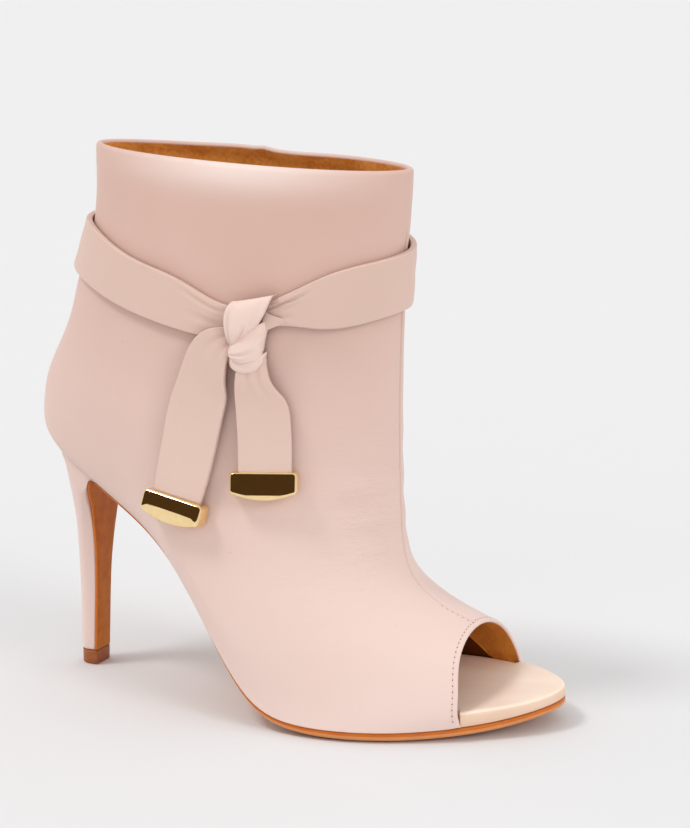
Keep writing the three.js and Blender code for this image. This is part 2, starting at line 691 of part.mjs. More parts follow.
const pieces = [
  { name: 'outsole', solid: makeOutsole(), finish: soleLeather },
  { name: 'heel', solid: makeHeel(), finish: leather },
  { name: 'heel_tip', solid: makeHeelTip(), finish: tipRubber },
  { name: 'insole', solid: makeInsole(), finish: insoleLeather },
  { name: 'upper', solid: makeUpper(), finish: leather },
  { name: 'strap_band', solid: bandSolid(0), finish: leather },
  { name: 'strap_knot', solid: makeKnot(), finish: leather },
  { name: 'strap_tail_rear', solid: makeTail(TAILS.rear), finish: leather },
  { name: 'strap_tail_front', solid: makeTail(TAILS.front), finish: leather },
  { name: 'strap_tip_rear', solid: makeMetalTip(TAILS.rear), finish: gold },
  { name: 'strap_tip_front', solid: makeMetalTip(TAILS.front), finish: gold },
];

const group = new THREE.Group();
for (const { name, solid, finish } of pieces) {
  const mesh = new THREE.Mesh(geometryOf(solid), new THREE.MeshStandardMaterial(finish));
  mesh.name = name;
  group.add(mesh);
}

export default group;
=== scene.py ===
# %% [markdown]
# # Peep toe ankle boot
# This lesson builds the looks of one right boot: soft pale leather on a slim high heel, open at the toe,
# with an ankle strap knotted on the outer side. A CAD model gives the true form. Here each of its
# plain solids is replaced by a finer piece with seams, folds, stitches and a finish of its own.

# %% Load the CAD frame
import math

import bpy
import numpy as np
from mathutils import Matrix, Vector


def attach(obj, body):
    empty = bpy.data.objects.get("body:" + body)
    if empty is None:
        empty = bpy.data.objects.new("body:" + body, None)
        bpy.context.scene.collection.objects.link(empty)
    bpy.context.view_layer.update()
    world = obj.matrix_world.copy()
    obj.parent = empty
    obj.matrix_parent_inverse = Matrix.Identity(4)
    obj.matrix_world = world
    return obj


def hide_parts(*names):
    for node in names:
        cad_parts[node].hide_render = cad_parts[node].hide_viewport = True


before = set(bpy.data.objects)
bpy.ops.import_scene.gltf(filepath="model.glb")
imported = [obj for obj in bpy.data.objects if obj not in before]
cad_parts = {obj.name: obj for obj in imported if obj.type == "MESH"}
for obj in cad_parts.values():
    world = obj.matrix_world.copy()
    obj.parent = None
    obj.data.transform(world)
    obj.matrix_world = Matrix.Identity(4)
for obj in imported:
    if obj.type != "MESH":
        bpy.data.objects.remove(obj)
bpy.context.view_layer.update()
MM = 0.001
print("CAD pieces:", ", ".join(sorted(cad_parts)))

# %% [markdown]
# ## Camera
# The photo was taken with a long lens from about a metre away, a little above the boot and from its
# outer side. A long lens keeps the heel and the toe at nearly the same scale. The position and the
# point it looks at come from fitting the boot's outline to the picture.

# %% Camera
CAMERA_PLACE = (519.4, -866.4, 333.4)
CAMERA_AIM = (99.96, 11.82, 103.72)
LENS = 144.7

camera = bpy.data.objects.new("camera", bpy.data.cameras.new("camera"))
bpy.context.collection.objects.link(camera)
camera.location = Vector(CAMERA_PLACE) * MM
camera.rotation_euler = (Vector(CAMERA_AIM) - Vector(CAMERA_PLACE)).to_track_quat("-Z", "Y").to_euler()
camera.data.lens = LENS
camera.data.sensor_fit = "HORIZONTAL"
camera.data.sensor_width = 36
camera.data.clip_start = 0.05
bpy.context.scene.camera = camera
bpy.context.scene.view_settings.view_transform = "Standard"
print("camera distance:", round((Vector(CAMERA_PLACE) - Vector(CAMERA_AIM)).length), "mm")

# %% [markdown]
# ## The last
# A boot is made over a last, a solid model of the foot. The form below is the same as in the CAD
# source: closed rings run round the boot from the feather line, where the upper meets the sole, up to
# the collar. Natural splines carry each size from ring to ring, so the surface is smooth everywhere.

# %% Sizes of the last, in millimetres
SOLE_LENGTH = 198
HEEL_SET = 10.3
SEAT_HEIGHT = 86
TOE_SPRING = 6
BALL_WIDTH = 78
BOOT_HEIGHT = 199
COLLAR_DIP = 3
COLLAR_WIDTH = 46
WALL = 2.4
GAP = 0.3
SOLE_THICKNESS = 4
TOE_OPENING = 23.7
TOE_OPENING_LEAN = 0.19
TOE_EDGE_KICK = 1.3
CENTRE_FADE = 0.75


def table(columns, rows):
    """A short table as one array for each named column."""
    return {name: np.array([row[i] for row in rows], float) for i, name in enumerate(columns.split())}


def rows_of(columns):
    """The rows of a table, each with its named values."""
    return [dict(zip(columns, row)) for row in zip(*columns.values())]


FEATHER_LINE = table("along arch spring thick upright", [
    (0.0, 1.0, 0, 0.55, 0.35),
    (0.072, 0.929, 0, 0.55, 0.35),
    (0.168, 0.803, 0, 0.55, 0.35),
    (0.284, 0.627, 0, 0.55, 0.35),
    (0.395, 0.341, 0, 0.55, 0.38),
    (0.496, 0.08, 0, 0.7, 0.48),
    (0.587, 0.009, 0, 0.95, 0.58),
    (0.673, 0, 0.01, 1, 0.6),
    (0.759, 0, 0, 1, 0.6),
    (0.85, 0, 0.15, 1, 0.6),
    (0.935, 0, 0.52, 0.95, 0.6),
    (1.0, 0, 1, 0.85, 0.6),
])
CENTRE_LINE = table("along shift", [
    (-0.06, -0.006),
    (0.19, 0),
    (0.446, -0.108),
    (0.673, -0.058),
    (0.85, 0.058),
    (1.0, 0.099),
])
RINGS = table("level front front_rise back back_rise straight heel rear waist ball toe", [
    (0.0, 1.0, 0.0, 0.0, 0.0, 0.0, 0.538, 0.337, 0.4, 0.542, 0.494),
    (0.05, 1.006, 0.029, -0.025, 0.062, 0.02, 0.556, 0.394, 0.42, 0.543, 0.517),
    (0.12, 0.964, 0.078, -0.03, 0.144, 0.1, 0.555, 0.455, 0.461, 0.541, 0.548),
    (0.25, 0.865, 0.128, -0.016, 0.259, 0.3, 0.592, 0.519, 0.519, 0.567, 0.576),
    (0.42, 0.7385, 0.198, 0.027, 0.423, 0.6, 0.616, 0.595, 0.592, 0.612, 0.622),
    (0.6, 0.698, 0.343, 0.054, 0.597, 0.85, 0.634, 0.626, 0.614, 0.608, 0.587),
    (0.8, 0.695, 0.665, 0.085, 0.787, 1.0, 0.58, 0.587, 0.587, 0.596, 0.596),
    (1.0, 0.715, 1.0, 0.085, 1.0, 1.0, 0.493, 0.496, 0.496, 0.517, 0.539),
])
WIDTH_STATIONS = {"heel": 0, "rear": 0.22, "waist": 0.45, "ball": 0.72, "toe": 1}


# %% Smooth curves through a table
def curve_through(x, y):
    """Natural cubic spline through points, straight beyond its ends."""
    count = len(x)
    step = np.diff(x)
    slopes = np.diff(y) / step
    weights = np.eye(count)
    pull = np.zeros(count)
    for i in range(1, count - 1):
        weights[i, i - 1:i + 2] = step[i - 1], 2 * (step[i - 1] + step[i]), step[i]
        pull[i] = 6 * (slopes[i] - slopes[i - 1])
    bend = np.linalg.solve(weights, pull)
    start = slopes[0] - step[0] * (2 * bend[0] + bend[1]) / 6
    end = slopes[-1] + step[-1] * (bend[-2] + 2 * bend[-1]) / 6

    def at(q):
        q = np.asarray(q, float)
        held = np.clip(q, x[0], x[-1])
        i = np.clip(np.searchsorted(x, held, side="right") - 1, 0, count - 2)
        t = held - x[i]
        slope = slopes[i] - step[i] * (2 * bend[i] + bend[i + 1]) / 6
        inside = y[i] + t * (slope + t * (bend[i] / 2 + t * (bend[i + 1] - bend[i]) / (6 * step[i])))
        return inside + start * np.minimum(q - x[0], 0) + end * np.maximum(q - x[-1], 0)

    return at


arch_curve = curve_through(FEATHER_LINE["along"], FEATHER_LINE["arch"])
spring_curve = curve_through(FEATHER_LINE["along"], FEATHER_LINE["spring"])
centre_curve = curve_through(CENTRE_LINE["along"], CENTRE_LINE["shift"])
ring_curves = {name: curve_through(RINGS["level"], column) for name, column in RINGS.items()}

# %% Places along the sole
def sole_x(along):
    return along * SOLE_LENGTH - HEEL_SET


def sole_along(x):
    return (x + HEEL_SET) / SOLE_LENGTH


def between(a, b, share):
    return a + (b - a) * share


def smooth(low, high, value):
    """0 below low, 1 above high, and an even S between them."""
    t = np.clip((np.asarray(value, float) - low) / (high - low), 0, 1)
    return t * t * (3 - 2 * t)


def unit(vectors):
    return vectors / np.linalg.norm(vectors, axis=-1, keepdims=True)


def from_front(turn):
    """The same turn, counted from the front: over 0 on the outer side, under 0 on the inner side."""
    return (turn + math.pi) % (2 * math.pi) - math.pi

# %% The form of the boot
def feather_height(x):
    """Height of the feather line, where the upper meets the sole."""
    along = sole_along(x)
    arch = arch_curve(along) * (SEAT_HEIGHT - SOLE_THICKNESS)
    return SOLE_THICKNESS + arch + spring_curve(along) * TOE_SPRING


def half_width(level, s):
    """Half the width of a ring. s: 0 at its back and 1 at its front."""
    total = 0
    for name, place in WIDTH_STATIONS.items():
        weight = 1
        for other, there in WIDTH_STATIONS.items():
            if other != name:
                weight = weight * (s - there) / (place - there)
        total = total + weight * ring_curves[name](level)
    straight = np.clip(ring_curves["straight"](level), 0, 1)
    return total * between(BALL_WIDTH, COLLAR_WIDTH, straight)


def form_point(level, turn):
    """A point of the boot's outer form. turn: radians from the front over the outer side."""
    level, turn = np.broadcast_arrays(np.asarray(level, float), np.asarray(turn, float))
    s = (1 + np.cos(turn)) / 2
    x = between(sole_x(ring_curves["back"](level)), sole_x(ring_curves["front"](level)), s)
    fade = np.clip(1 - level / CENTRE_FADE, 0, 1) ** 1.5
    y = centre_curve(sole_along(x)) * BALL_WIDTH * fade - half_width(level, s) * np.sin(turn)
    toe, seat = feather_height(sole_x(1)), feather_height(sole_x(0))
    front_z = between(toe, BOOT_HEIGHT - COLLAR_DIP, ring_curves["front_rise"](level))
    back_z = between(seat, BOOT_HEIGHT, ring_curves["back_rise"](level))
    arched = (feather_height(sole_x(s)) - seat) / (toe - seat)
    straight = np.clip(ring_curves["straight"](level), 0, 1)
    return np.stack([x, y, between(back_z, front_z, between(arched, s, straight))], -1)


def form_up(level, turn):
    """Change of the form's point with its level."""
    step = 1e-3
    low, high = np.maximum(level - step, 0), np.minimum(level + step, 1)
    return (form_point(high, turn) - form_point(low, turn)) / (high - low)[..., None]


def form_normal(level, turn):
    step = 1e-3
    level, turn = np.broadcast_arrays(np.asarray(level, float), np.asarray(turn, float))
    round_form = form_point(level, turn + step) - form_point(level, turn - step)
    return unit(np.cross(form_up(level, turn), round_form))


def offset_point(level, turn, distance):
    return form_point(level, turn) + form_normal(level, turn) * np.asarray(distance, float)[..., None]

# %% Finding a place on the form
def level_at(turn, height):
    """Level of the ring that passes a height, at a turn."""
    turn, height = np.broadcast_arrays(np.asarray(turn, float), np.asarray(height, float))
    low, high = np.zeros(turn.shape), np.ones(turn.shape)
    for _ in range(30):
        middle = (low + high) / 2
        under = form_point(middle, turn)[..., 2] < height
        low, high = np.where(under, middle, low), np.where(under, high, middle)
    return (low + high) / 2


def side_place(x, z):
    """Level and turn on the outer side of the point that has this x and z, by Newton's method."""
    x, z = np.broadcast_arrays(np.asarray(x, float), np.asarray(z, float))
    turn = np.full(x.shape, math.pi / 2)
    level = level_at(turn, z)
    step = 1e-4
    for _ in range(12):
        here = form_point(level, turn)[..., [0, 2]]
        by_level = (form_point(level + step, turn)[..., [0, 2]] - here) / step
        by_turn = (form_point(level, turn + step)[..., [0, 2]] - here) / step
        miss = np.stack([x, z], -1) - here
        size = by_level[..., 0] * by_turn[..., 1] - by_level[..., 1] * by_turn[..., 0]
        level = level + (miss[..., 0] * by_turn[..., 1] - miss[..., 1] * by_turn[..., 0]) / size
        turn = turn + (by_level[..., 0] * miss[..., 1] - by_level[..., 1] * miss[..., 0]) / size
    return level, turn


def side_point(x, z, distance):
    """A point over the outer side, from its place in side view and its distance to the form."""
    level, turn = side_place(x, z)
    return offset_point(level, turn, distance)


print("collar:", form_point(1.0, 0.0).round(1), "to", form_point(1.0, math.pi).round(1))

# %% [markdown]
# ## Finishes
# Real leather, suede and plated metal differ in three ways that light shows: their colour, how sharply
# they mirror, and the small relief of their surface. Each finish below is one shader with noise at the
# scale of the real grain. A small class lets sockets be added and multiplied like numbers.


# %% A socket that can be used in sums
class Value:
    """One output of a node tree."""

    def __init__(self, tree, socket):
        self.tree = tree
        self.socket = socket

    def _math(self, operation, first, second):
        return self.tree.node("ShaderNodeMath", {"operation": operation}, {0: first, 1: second})

    def __add__(self, other):
        return self._math("ADD", self, other)

    def __radd__(self, other):
        return self._math("ADD", other, self)

    def __sub__(self, other):
        return self._math("SUBTRACT", self, other)

    def __rsub__(self, other):
        return self._math("SUBTRACT", other, self)

    def __mul__(self, other):
        return self._math("MULTIPLY", self, other)

    def __rmul__(self, other):
        return self._math("MULTIPLY", other, self)

# %% A tree of nodes
class Tree:
    """A node tree that is filled by short calls."""

    def __init__(self, tree):
        self.tree = tree

    def node(self, kind, settings=None, inputs=None, output=0):
        made = self.tree.nodes.new(kind)
        for key, value in (settings or {}).items():
            setattr(made, key, value)
        for key, value in (inputs or {}).items():
            self.feed(made.inputs[key], value)
        return Value(self, made.outputs[output])

    def feed(self, socket, value):
        if isinstance(value, Value):
            self.tree.links.new(value.socket, socket)
        elif socket.type == "RGBA":
            socket.default_value = (*value, 1)
        else:
            socket.default_value = value

    def place(self):
        return self.node("ShaderNodeTexCoord", output="Object")

    def scaled(self, place, factors):
        return self.node("ShaderNodeVectorMath", {"operation": "MULTIPLY"}, {0: place, 1: factors})

    def noise(self, place, size, detail=2.0, roughness=0.5):
        """Cloudy noise whose lumps are about size millimetres wide."""
        return self.node("ShaderNodeTexNoise", {}, {
            "Vector": place, "Scale": 1 / (size * MM), "Detail": detail, "Roughness": roughness})

    def cells(self, place, size):
        """Distance to the middle of cells that are about size millimetres wide."""
        return self.node("ShaderNodeTexVoronoi", {}, {"Vector": place, "Scale": 1 / (size * MM)})

    def height(self, place, low, high):
        """0 at one height over the floor and 1 at another, in millimetres."""
        parts = self.node("ShaderNodeSeparateXYZ", {}, {0: place}, output="Z")
        return self.node("ShaderNodeMapRange", {}, {
            "Value": parts, "From Min": low * MM, "From Max": high * MM})

    def near(self, place, middle, reach):
        """1 at a spot, fading to 0 at reach millimetres."""
        middle = tuple(coordinate * MM for coordinate in middle)
        away = self.node("ShaderNodeVectorMath", {"operation": "DISTANCE"}, {0: place, 1: middle},
                         output="Value")
        return self.ramp(away, reach * MM, 0.0)

    def ramp(self, value, low, high, to_low=0.0, to_high=1.0):
        return self.node("ShaderNodeMapRange", {"interpolation_type": "SMOOTHSTEP"}, {
            "Value": value, "From Min": low, "From Max": high, "To Min": to_low, "To Max": to_high})

    def mixed(self, share, first, second):
        return self.node("ShaderNodeMix", {"data_type": "RGBA"}, {0: share, 6: first, 7: second}, output=2)

# %% A material, and colours as they are seen
class Finish(Tree):
    """A material with one Principled shader."""

    def __init__(self, name, sockets):
        self.material = bpy.data.materials.new(name)
        self.material.use_nodes = True
        super().__init__(self.material.node_tree)
        self.shader = self.tree.nodes["Principled BSDF"]
        self.set(sockets)

    def set(self, sockets):
        for name, value in sockets.items():
            self.feed(self.shader.inputs[name], value)

    def bump(self, height, depth):
        """Relief from a height of 0 to 1 that stands for depth millimetres."""
        relief = self.node("ShaderNodeBump", {}, {"Height": height, "Distance": depth * MM, "Strength": 1.0})
        self.set({"Normal": relief})


def seen(red, green, blue):
    """Linear colour from the red, green and blue of a picture, 0 to 255."""
    def linear(part):
        part = part / 255
        return part / 12.92 if part <= 0.04045 else ((part + 0.055) / 1.055) ** 2.4
    return linear(red), linear(green), linear(blue)


# %% [markdown]
# ### Smooth leather
# The upper is a soft calf leather with a matt dressing. Its grain is too fine to see from a step away,
# but it breaks up the highlights. Where the instep bends, the skin gathers in fine cross wrinkles, and
# a few pores are darker. The colour grows deeper towards the top, partly the leather's own tone and
# partly painted shade, and near the collar the rolled top of the shaft has a painted highlight. The strap
# is cut from the same skin, so it uses the same recipe; a lighter copy on the knot is painted light, and
# a darker copy on the strips' faces towards the boot is painted shade.


# %% Smooth leather
def smooth_leather(name, pale, deep, specked=0.0, shoe_top=False):
    finish = Finish(name, {"IOR": 1.45, "Sheen Weight": 0.12, "Sheen Roughness": 0.5})
    place = finish.place()
    # Random clouds of tone plus a colour that deepens towards the top: partly the leather's own tone, partly
    # painted shade.
    clouds_and_painted_shade = finish.noise(place, 38, detail=3.0) * 0.25 + finish.height(place, 8, 175) * 0.85
    grain = finish.noise(place, 0.9, detail=3.0, roughness=0.6)
    pores = finish.cells(place, 1.1)
    colour = finish.mixed(clouds_and_painted_shade, pale, deep)
    if shoe_top:
        # Painted highlight: near the collar the rolled top of the shaft is mixed towards near white.
        collar_painted_highlight = finish.ramp(finish.height(place, 180, 198), 0.1, 0.9) * finish.near(place, (74, -20, 197), 66)
        colour = finish.mixed(collar_painted_highlight * 0.55, colour, seen(252, 238, 232))
    if specked:
        speck = finish.ramp(finish.noise(place, 2.6, detail=1.0), 0.775, 0.82)
        colour = finish.mixed(speck * specked, colour, seen(160, 112, 94))
    finish.set({"Base Color": colour, "Roughness": finish.ramp(grain, 0.3, 0.7, 0.46, 0.6)})
    height = grain * 0.6 + pores * 0.35
    if shoe_top:
        across = finish.scaled(place, (0.35, 0.35, 1.5))
        lines = finish.ramp(finish.noise(across, 3.4, detail=4.0, roughness=0.65), 0.35, 0.65)
        height = height + lines * finish.near(place, (138, -16, 74), 44) * 2.6
        height = height + lines * finish.near(place, (126, 14, 100), 52) * 2.0
        height = height + lines * finish.near(place, (112, -26, 60), 46) * 1.2
    finish.bump(height, 0.05)
    return finish.material


# Pale low down and deep towards the top: partly the leather's tone and partly painted shade.
PALE_SKIN = seen(236, 212, 204)
DEEP_SKIN = seen(212, 176, 162)
upper_leather = smooth_leather("upper_leather", PALE_SKIN, DEEP_SKIN, specked=0.14, shoe_top=True)
strap_leather = smooth_leather("strap_leather", seen(229, 202, 190), seen(215, 184, 170))
# A lighter copy of the strap leather for the knot's wraps: painted light.
knot_painted_light = smooth_leather("knot_painted_light", seen(246, 224, 214), seen(232, 204, 192))
# A darker copy of the strap leather for the faces of strips that turn towards the boot: painted shade.
strap_painted_shade = smooth_leather("strap_painted_shade", seen(176, 132, 114), seen(158, 112, 94))


# %% [markdown]
# ### Linings, insole, sole and heel tip
# The shaft is lined with golden suede, whose nap catches light at its edges. The toe has a smooth tan
# lining, with a darker copy as painted shade on its part deep in the toe. The insole is covered with
# beige leather; its face is painted lighter and its side darker, as painted light and shade. The sole's
# edge is stained and waxed, and the heel stands on a tip of brown rubber.


# %% Linings, insole, sole and tip
def napped(name, light, dark, fuzz):
    finish = Finish(name, {"Sheen Weight": 0.5, "Sheen Roughness": 0.4, "Specular IOR Level": 0.2})
    place = finish.place()
    nap = finish.noise(place, 1.6, detail=4.0, roughness=0.7)
    patches = finish.noise(place, 14, detail=2.0)
    finish.set({"Base Color": finish.mixed(finish.ramp(nap * 0.6 + patches * 0.5, 0.35, 0.75), dark, light),
                "Sheen Tint": light, "Roughness": finish.ramp(nap, 0.3, 0.7, 0.8, 0.95)})
    finish.bump(nap, fuzz)
    return finish.material


def dressed(name, light, dark, rough, streak, depth, coat, shine=0.5):
    """Leather or rubber with faint streaks along the boot and a waxed surface."""
    finish = Finish(name, {"Coat Weight": coat, "Coat Roughness": 0.25, "Specular IOR Level": shine})
    place = finish.place()
    streaks = finish.noise(finish.scaled(place, (0.25, 1.0, 1.0)), streak, detail=3.0)
    grain = finish.noise(place, 0.7, detail=2.0)
    finish.set({"Base Color": finish.mixed(finish.ramp(streaks, 0.3, 0.7), light, dark),
                "Roughness": finish.ramp(grain, 0.3, 0.7, rough - 0.06, rough + 0.06)})
    finish.bump(grain, depth)
    return finish.material


suede_lining = napped("suede_lining", seen(240, 168, 84), seen(204, 126, 52), 0.12)
toe_lining = napped("toe_lining", seen(226, 150, 66), seen(204, 124, 48), 0.04)
# A dark copy of the toe lining for its part behind the lining's seam: painted shade deep in the toe.
toe_lining_painted_shade = dressed("toe_lining_painted_shade", seen(104, 52, 18), seen(88, 42, 12), 0.8, 5.0, 0.02, 0.0, 0.1)
# The insole's face is a lighter copy, painted light, and its side a darker copy, painted shade.
insole_leather = dressed("insole_leather", seen(252, 229, 210), seen(249, 223, 203), 0.48, 9, 0.02, 0.1)
insole_side_painted_shade = dressed("insole_side_painted_shade", seen(240, 208, 184), seen(236, 203, 178), 0.48, 9, 0.02, 0.1)
outsole_leather = dressed("outsole_leather", seen(202, 122, 50), seen(188, 108, 42), 0.55, 4.0, 0.01, 0.0,
                          0.15)
edge_leather = dressed("edge_leather", seen(218, 144, 84), seen(213, 138, 77), 0.4, 2.4, 0.02, 0.15)
edge_stain = dressed("edge_stain", seen(206, 112, 38), seen(198, 104, 32), 0.4, 2.4, 0.02, 0.1, 0.3)
tip_rubber = dressed("heel_tip_rubber", seen(168, 96, 50), seen(150, 82, 40), 0.55, 1.4, 0.03, 0.0)
thread = dressed("thread", seen(234, 205, 193), seen(228, 197, 184), 0.6, 1.0, 0.02, 0.0)
# The holes' dark colour is painted shade.
needle_hole_shade = dressed("needle_hole_shade", seen(150, 100, 80), seen(128, 82, 64), 0.9, 1.0, 0.01, 0.0)


# %% [markdown]
# ### Plated metal
# The strap's tips are polished and plated in pale gold. A mirror finish has almost no colour of its own
# but the tint of the metal, so what counts is what it mirrors. A very fine haze keeps it from looking
# like chrome.


# %% Plated metal
def plated_metal():
    finish = Finish("tip_metal", {"Metallic": 1.0})
    place = finish.place()
    haze = finish.noise(place, 2.5, detail=3.0)
    gold = finish.mixed(finish.ramp(haze, 0.3, 0.7), seen(255, 228, 176), seen(252, 220, 162))
    finish.set({"Base Color": gold,
                "Roughness": finish.ramp(haze, 0.35, 0.65, 0.03, 0.06)})
    finish.bump(finish.noise(place, 7, detail=1.0), 0.008)
    return finish.material


tip_metal = plated_metal()
print("finishes:", len(bpy.data.materials))


# %% [markdown]
# ## Helpers for meshes
# Every piece is a grid of points bent into shape. One helper turns a grid into a mesh, rides it on the
# boot and gives it its finish. Another sets many small beads, such as stitches, as one joined mesh.


# %% Helpers for meshes
def grid_faces(rows, columns, close_rows, close_columns):
    """Quads of a grid of points. Closing joins its last row or column to its first."""
    r = np.arange(rows if close_rows else rows - 1)[:, None]
    c = np.arange(columns if close_columns else columns - 1)[None, :]
    r2, c2 = (r + 1) % rows, (c + 1) % columns
    return np.stack([r * columns + c, r * columns + c2, r2 * columns + c2, r2 * columns + c], -1)


def add_piece(name, points, faces, finishes, slot, face_finish=None, stands_for=None, sharp=None):
    """A mesh from points in millimetres and quads. face_finish: index of each face's finish.
    stands_for: the CAD piece whose place it takes. sharp: angle in degrees past which an edge is hard."""
    mesh = bpy.data.meshes.new(name)
    corners = faces.reshape(-1, 4)
    mesh.from_pydata((points.reshape(-1, 3) * MM).tolist(), [], corners.tolist())
    for finish in finishes:
        mesh.materials.append(finish)
    if face_finish is not None:
        mesh.polygons.foreach_set("material_index", face_finish.reshape(-1).astype(np.int32))
    mesh.validate()
    volume = signed_volume(points.reshape(-1, 3), corners)
    if volume < 0:
        mesh.flip_normals()
    mesh.shade_smooth()
    if sharp is not None:
        mesh.set_sharp_from_angle(angle=math.radians(sharp))
    piece = bpy.data.objects.new(name, mesh)
    bpy.context.collection.objects.link(piece)
    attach(piece, "root")
    if stands_for:
        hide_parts(stands_for)
    print(f"{name}: {len(corners)} faces")


def signed_volume(points, quads):
    a, b, c, d = (points[quads[:, i]] for i in range(4))
    return (np.cross(b - a, c - a) * (a + b + c)).sum() + (np.cross(c - a, d - a) * (a + c + d)).sum()


def tube_faces(rows, columns):
    """Quads of closed rings that follow one another, and of the two ends."""
    i = np.arange(columns // 2 - 1)
    start = np.stack([i, i + 1, columns - 2 - i, columns - 1 - i], -1)
    walls = grid_faces(rows, columns, False, True).reshape(-1, 4)
    return np.concatenate([walls, start[:, ::-1], start + (rows - 1) * columns])

# %% Beads in a row
def bead_mesh(centres, along, out, size):
    """Points and quads of small ellipsoids. size: their length, width and height."""
    rings, sides = 5, 8
    angle = np.linspace(0.12, math.pi - 0.12, rings)[:, None]
    round_ = np.arange(sides)[None, :] * 2 * math.pi / sides
    shape = np.stack([np.cos(angle) + 0 * round_, np.sin(angle) * np.cos(round_),
                      np.sin(angle) * np.sin(round_)], -1) * np.array(size) / 2
    across = unit(np.cross(out, along))
    axes = np.stack([along, across, out], 1)
    points = centres[:, None, None, :] + np.einsum("rsa,nab->nrsb", shape, axes)
    faces = tube_faces(rings, sides)
    many = faces[None] + (np.arange(len(centres)) * rings * sides)[:, None, None]
    return points.reshape(-1, 3), many.reshape(-1, 4)


def spaced(points, out, pitch, start=0.0):
    """Evenly spaced places on a path, with their directions along it and out of it."""
    length = np.concatenate([[0], np.cumsum(np.linalg.norm(np.diff(points, axis=0), axis=1))])
    at = np.arange(start, length[-1], pitch)
    place = np.stack([np.interp(at, length, points[:, i]) for i in range(3)], -1)
    ahead = np.stack([np.interp(at + 0.2, length, points[:, i]) for i in range(3)], -1)
    behind = np.stack([np.interp(at - 0.2, length, points[:, i]) for i in range(3)], -1)
    normal = np.stack([np.interp(at, length, out[:, i]) for i in range(3)], -1)
    along = unit(ahead - behind)
    return place, along, unit(normal - (normal * along).sum(-1, keepdims=True) * along)


# %% [markdown]
# ## Relief of the upper
# Two halves of leather meet in a closed seam down the front. The inner half rises a little at the seam,
# the needle holes lie in a fine groove beside it, and the skin pulls in under the strap. Soft troughs
# and ridges stand where the foot bends. Each is one row of a table: a line in side view, with a width
# and a depth in millimetres. They are listed one by one, so every crease lies where the leather really folds.

# %% Creases and seams
SIDE_SEAM_TURN = math.radians(266.6)
SEAM_RISE = 0.4
SEAM_SPREAD = 2.4
GROOVE_SET = 0.1
GROOVE_DEPTH = 0.42
GROOVE_WIDTH = 0.38
SIDE_GROOVE_DEPTH = 0.35
SIDE_GROOVE_WIDTH = 0.5
PINCH = 0.35
WAVE = 0.12
# side: -1 outer, 1 inner. A crease runs from (x1, z1) over (x2, z2) to (x3, z3).
CREASES = table("side x1 z1 x2 z2 x3 z3 width depth", [
    (-1, 134, 82, 124, 78, 110, 79, 3.2, 0.35),
    (-1, 138, 73, 128, 68, 114, 66, 3.0, 0.3),
    (-1, 143, 66, 136, 60, 127, 57, 2.6, 0.25),
    (-1, 131, 92, 122, 90, 106, 92, 4.5, 0.3),
    (-1, 30, 150, 40, 152, 52, 150, 8.0, 0.3),
    (-1, 20, 128, 34, 122, 48, 121, 9.0, 0.35),
    (-1, 104, 136, 112, 122, 116, 104, 9.0, 0.4),
    (-1, 72, 66, 88, 56, 104, 50, 10.0, 0.3),
    (1, 134, 84, 124, 78, 108, 77, 3.4, 0.4),
    (1, 139, 72, 128, 66, 112, 63, 3.0, 0.3),
    (1, 131, 96, 120, 94, 104, 96, 4.5, 0.35),
    (1, 126, 112, 114, 110, 98, 113, 5.0, 0.3),
    (1, 24, 126, 40, 120, 56, 120, 9.0, 0.35),
    (1, 66, 70, 84, 58, 102, 52, 10.0, 0.3),
])

# %% Depth of the creases
def line_distance(points, row, start, end):
    """Distance in side view to one stretch of a crease, and the share along it."""
    x, z = points[..., 0] - row["x" + start], points[..., 2] - row["z" + start]
    dx, dz = row["x" + end] - row["x" + start], row["z" + end] - row["z" + start]
    share = np.clip((x * dx + z * dz) / (dx * dx + dz * dz), 0, 1)
    return np.hypot(x - share * dx, z - share * dz), share


def crease_depth(points, side):
    total = 0
    for row in rows_of(CREASES):
        first, share1 = line_distance(points, row, "1", "2")
        second, share2 = line_distance(points, row, "2", "3")
        near = np.minimum(first, second)
        along = np.where(first < second, share1 / 2, 0.5 + share2 / 2)
        trough = np.exp(-(near / row["width"]) ** 2) - 0.5 * np.exp(-(near / row["width"] - 1.8) ** 2)
        fade = np.sin(np.pi * np.clip(along * 0.9 + 0.05, 0, 1)) ** 0.7
        total = total + np.where(side == row["side"], trough * fade * row["depth"], 0)
    return total

# %% Edges of the strap and of the toe opening
STRAP_EDGES = table("turn low high", [
    (0, 0.742, 0.846),
    (25, 0.727, 0.831),
    (50, 0.713, 0.803),
    (67, 0.714, 0.762),
    (83, 0.69, 0.746),
    (100, 0.696, 0.78),
    (120, 0.719, 0.808),
    (150, 0.758, 0.85),
    (180, 0.776, 0.866),
    (225, 0.783, 0.88),
    (270, 0.786, 0.884),
    (315, 0.77, 0.868),
    (360, 0.742, 0.846),
])
strap_low = curve_through(STRAP_EDGES["turn"], STRAP_EDGES["low"] * BOOT_HEIGHT)
strap_high = curve_through(STRAP_EDGES["turn"], STRAP_EDGES["high"] * BOOT_HEIGHT)
EDGE_X = sole_x(1) - TOE_OPENING


def before_edge(level, turn):
    """How far a point of the form is in front of the toe opening's plane."""
    point = form_point(level, turn)
    kick = TOE_EDGE_KICK * (1 - smooth(4, 20, point[..., 2]))
    return point[..., 0] + TOE_OPENING_LEAN * point[..., 2] + kick - EDGE_X

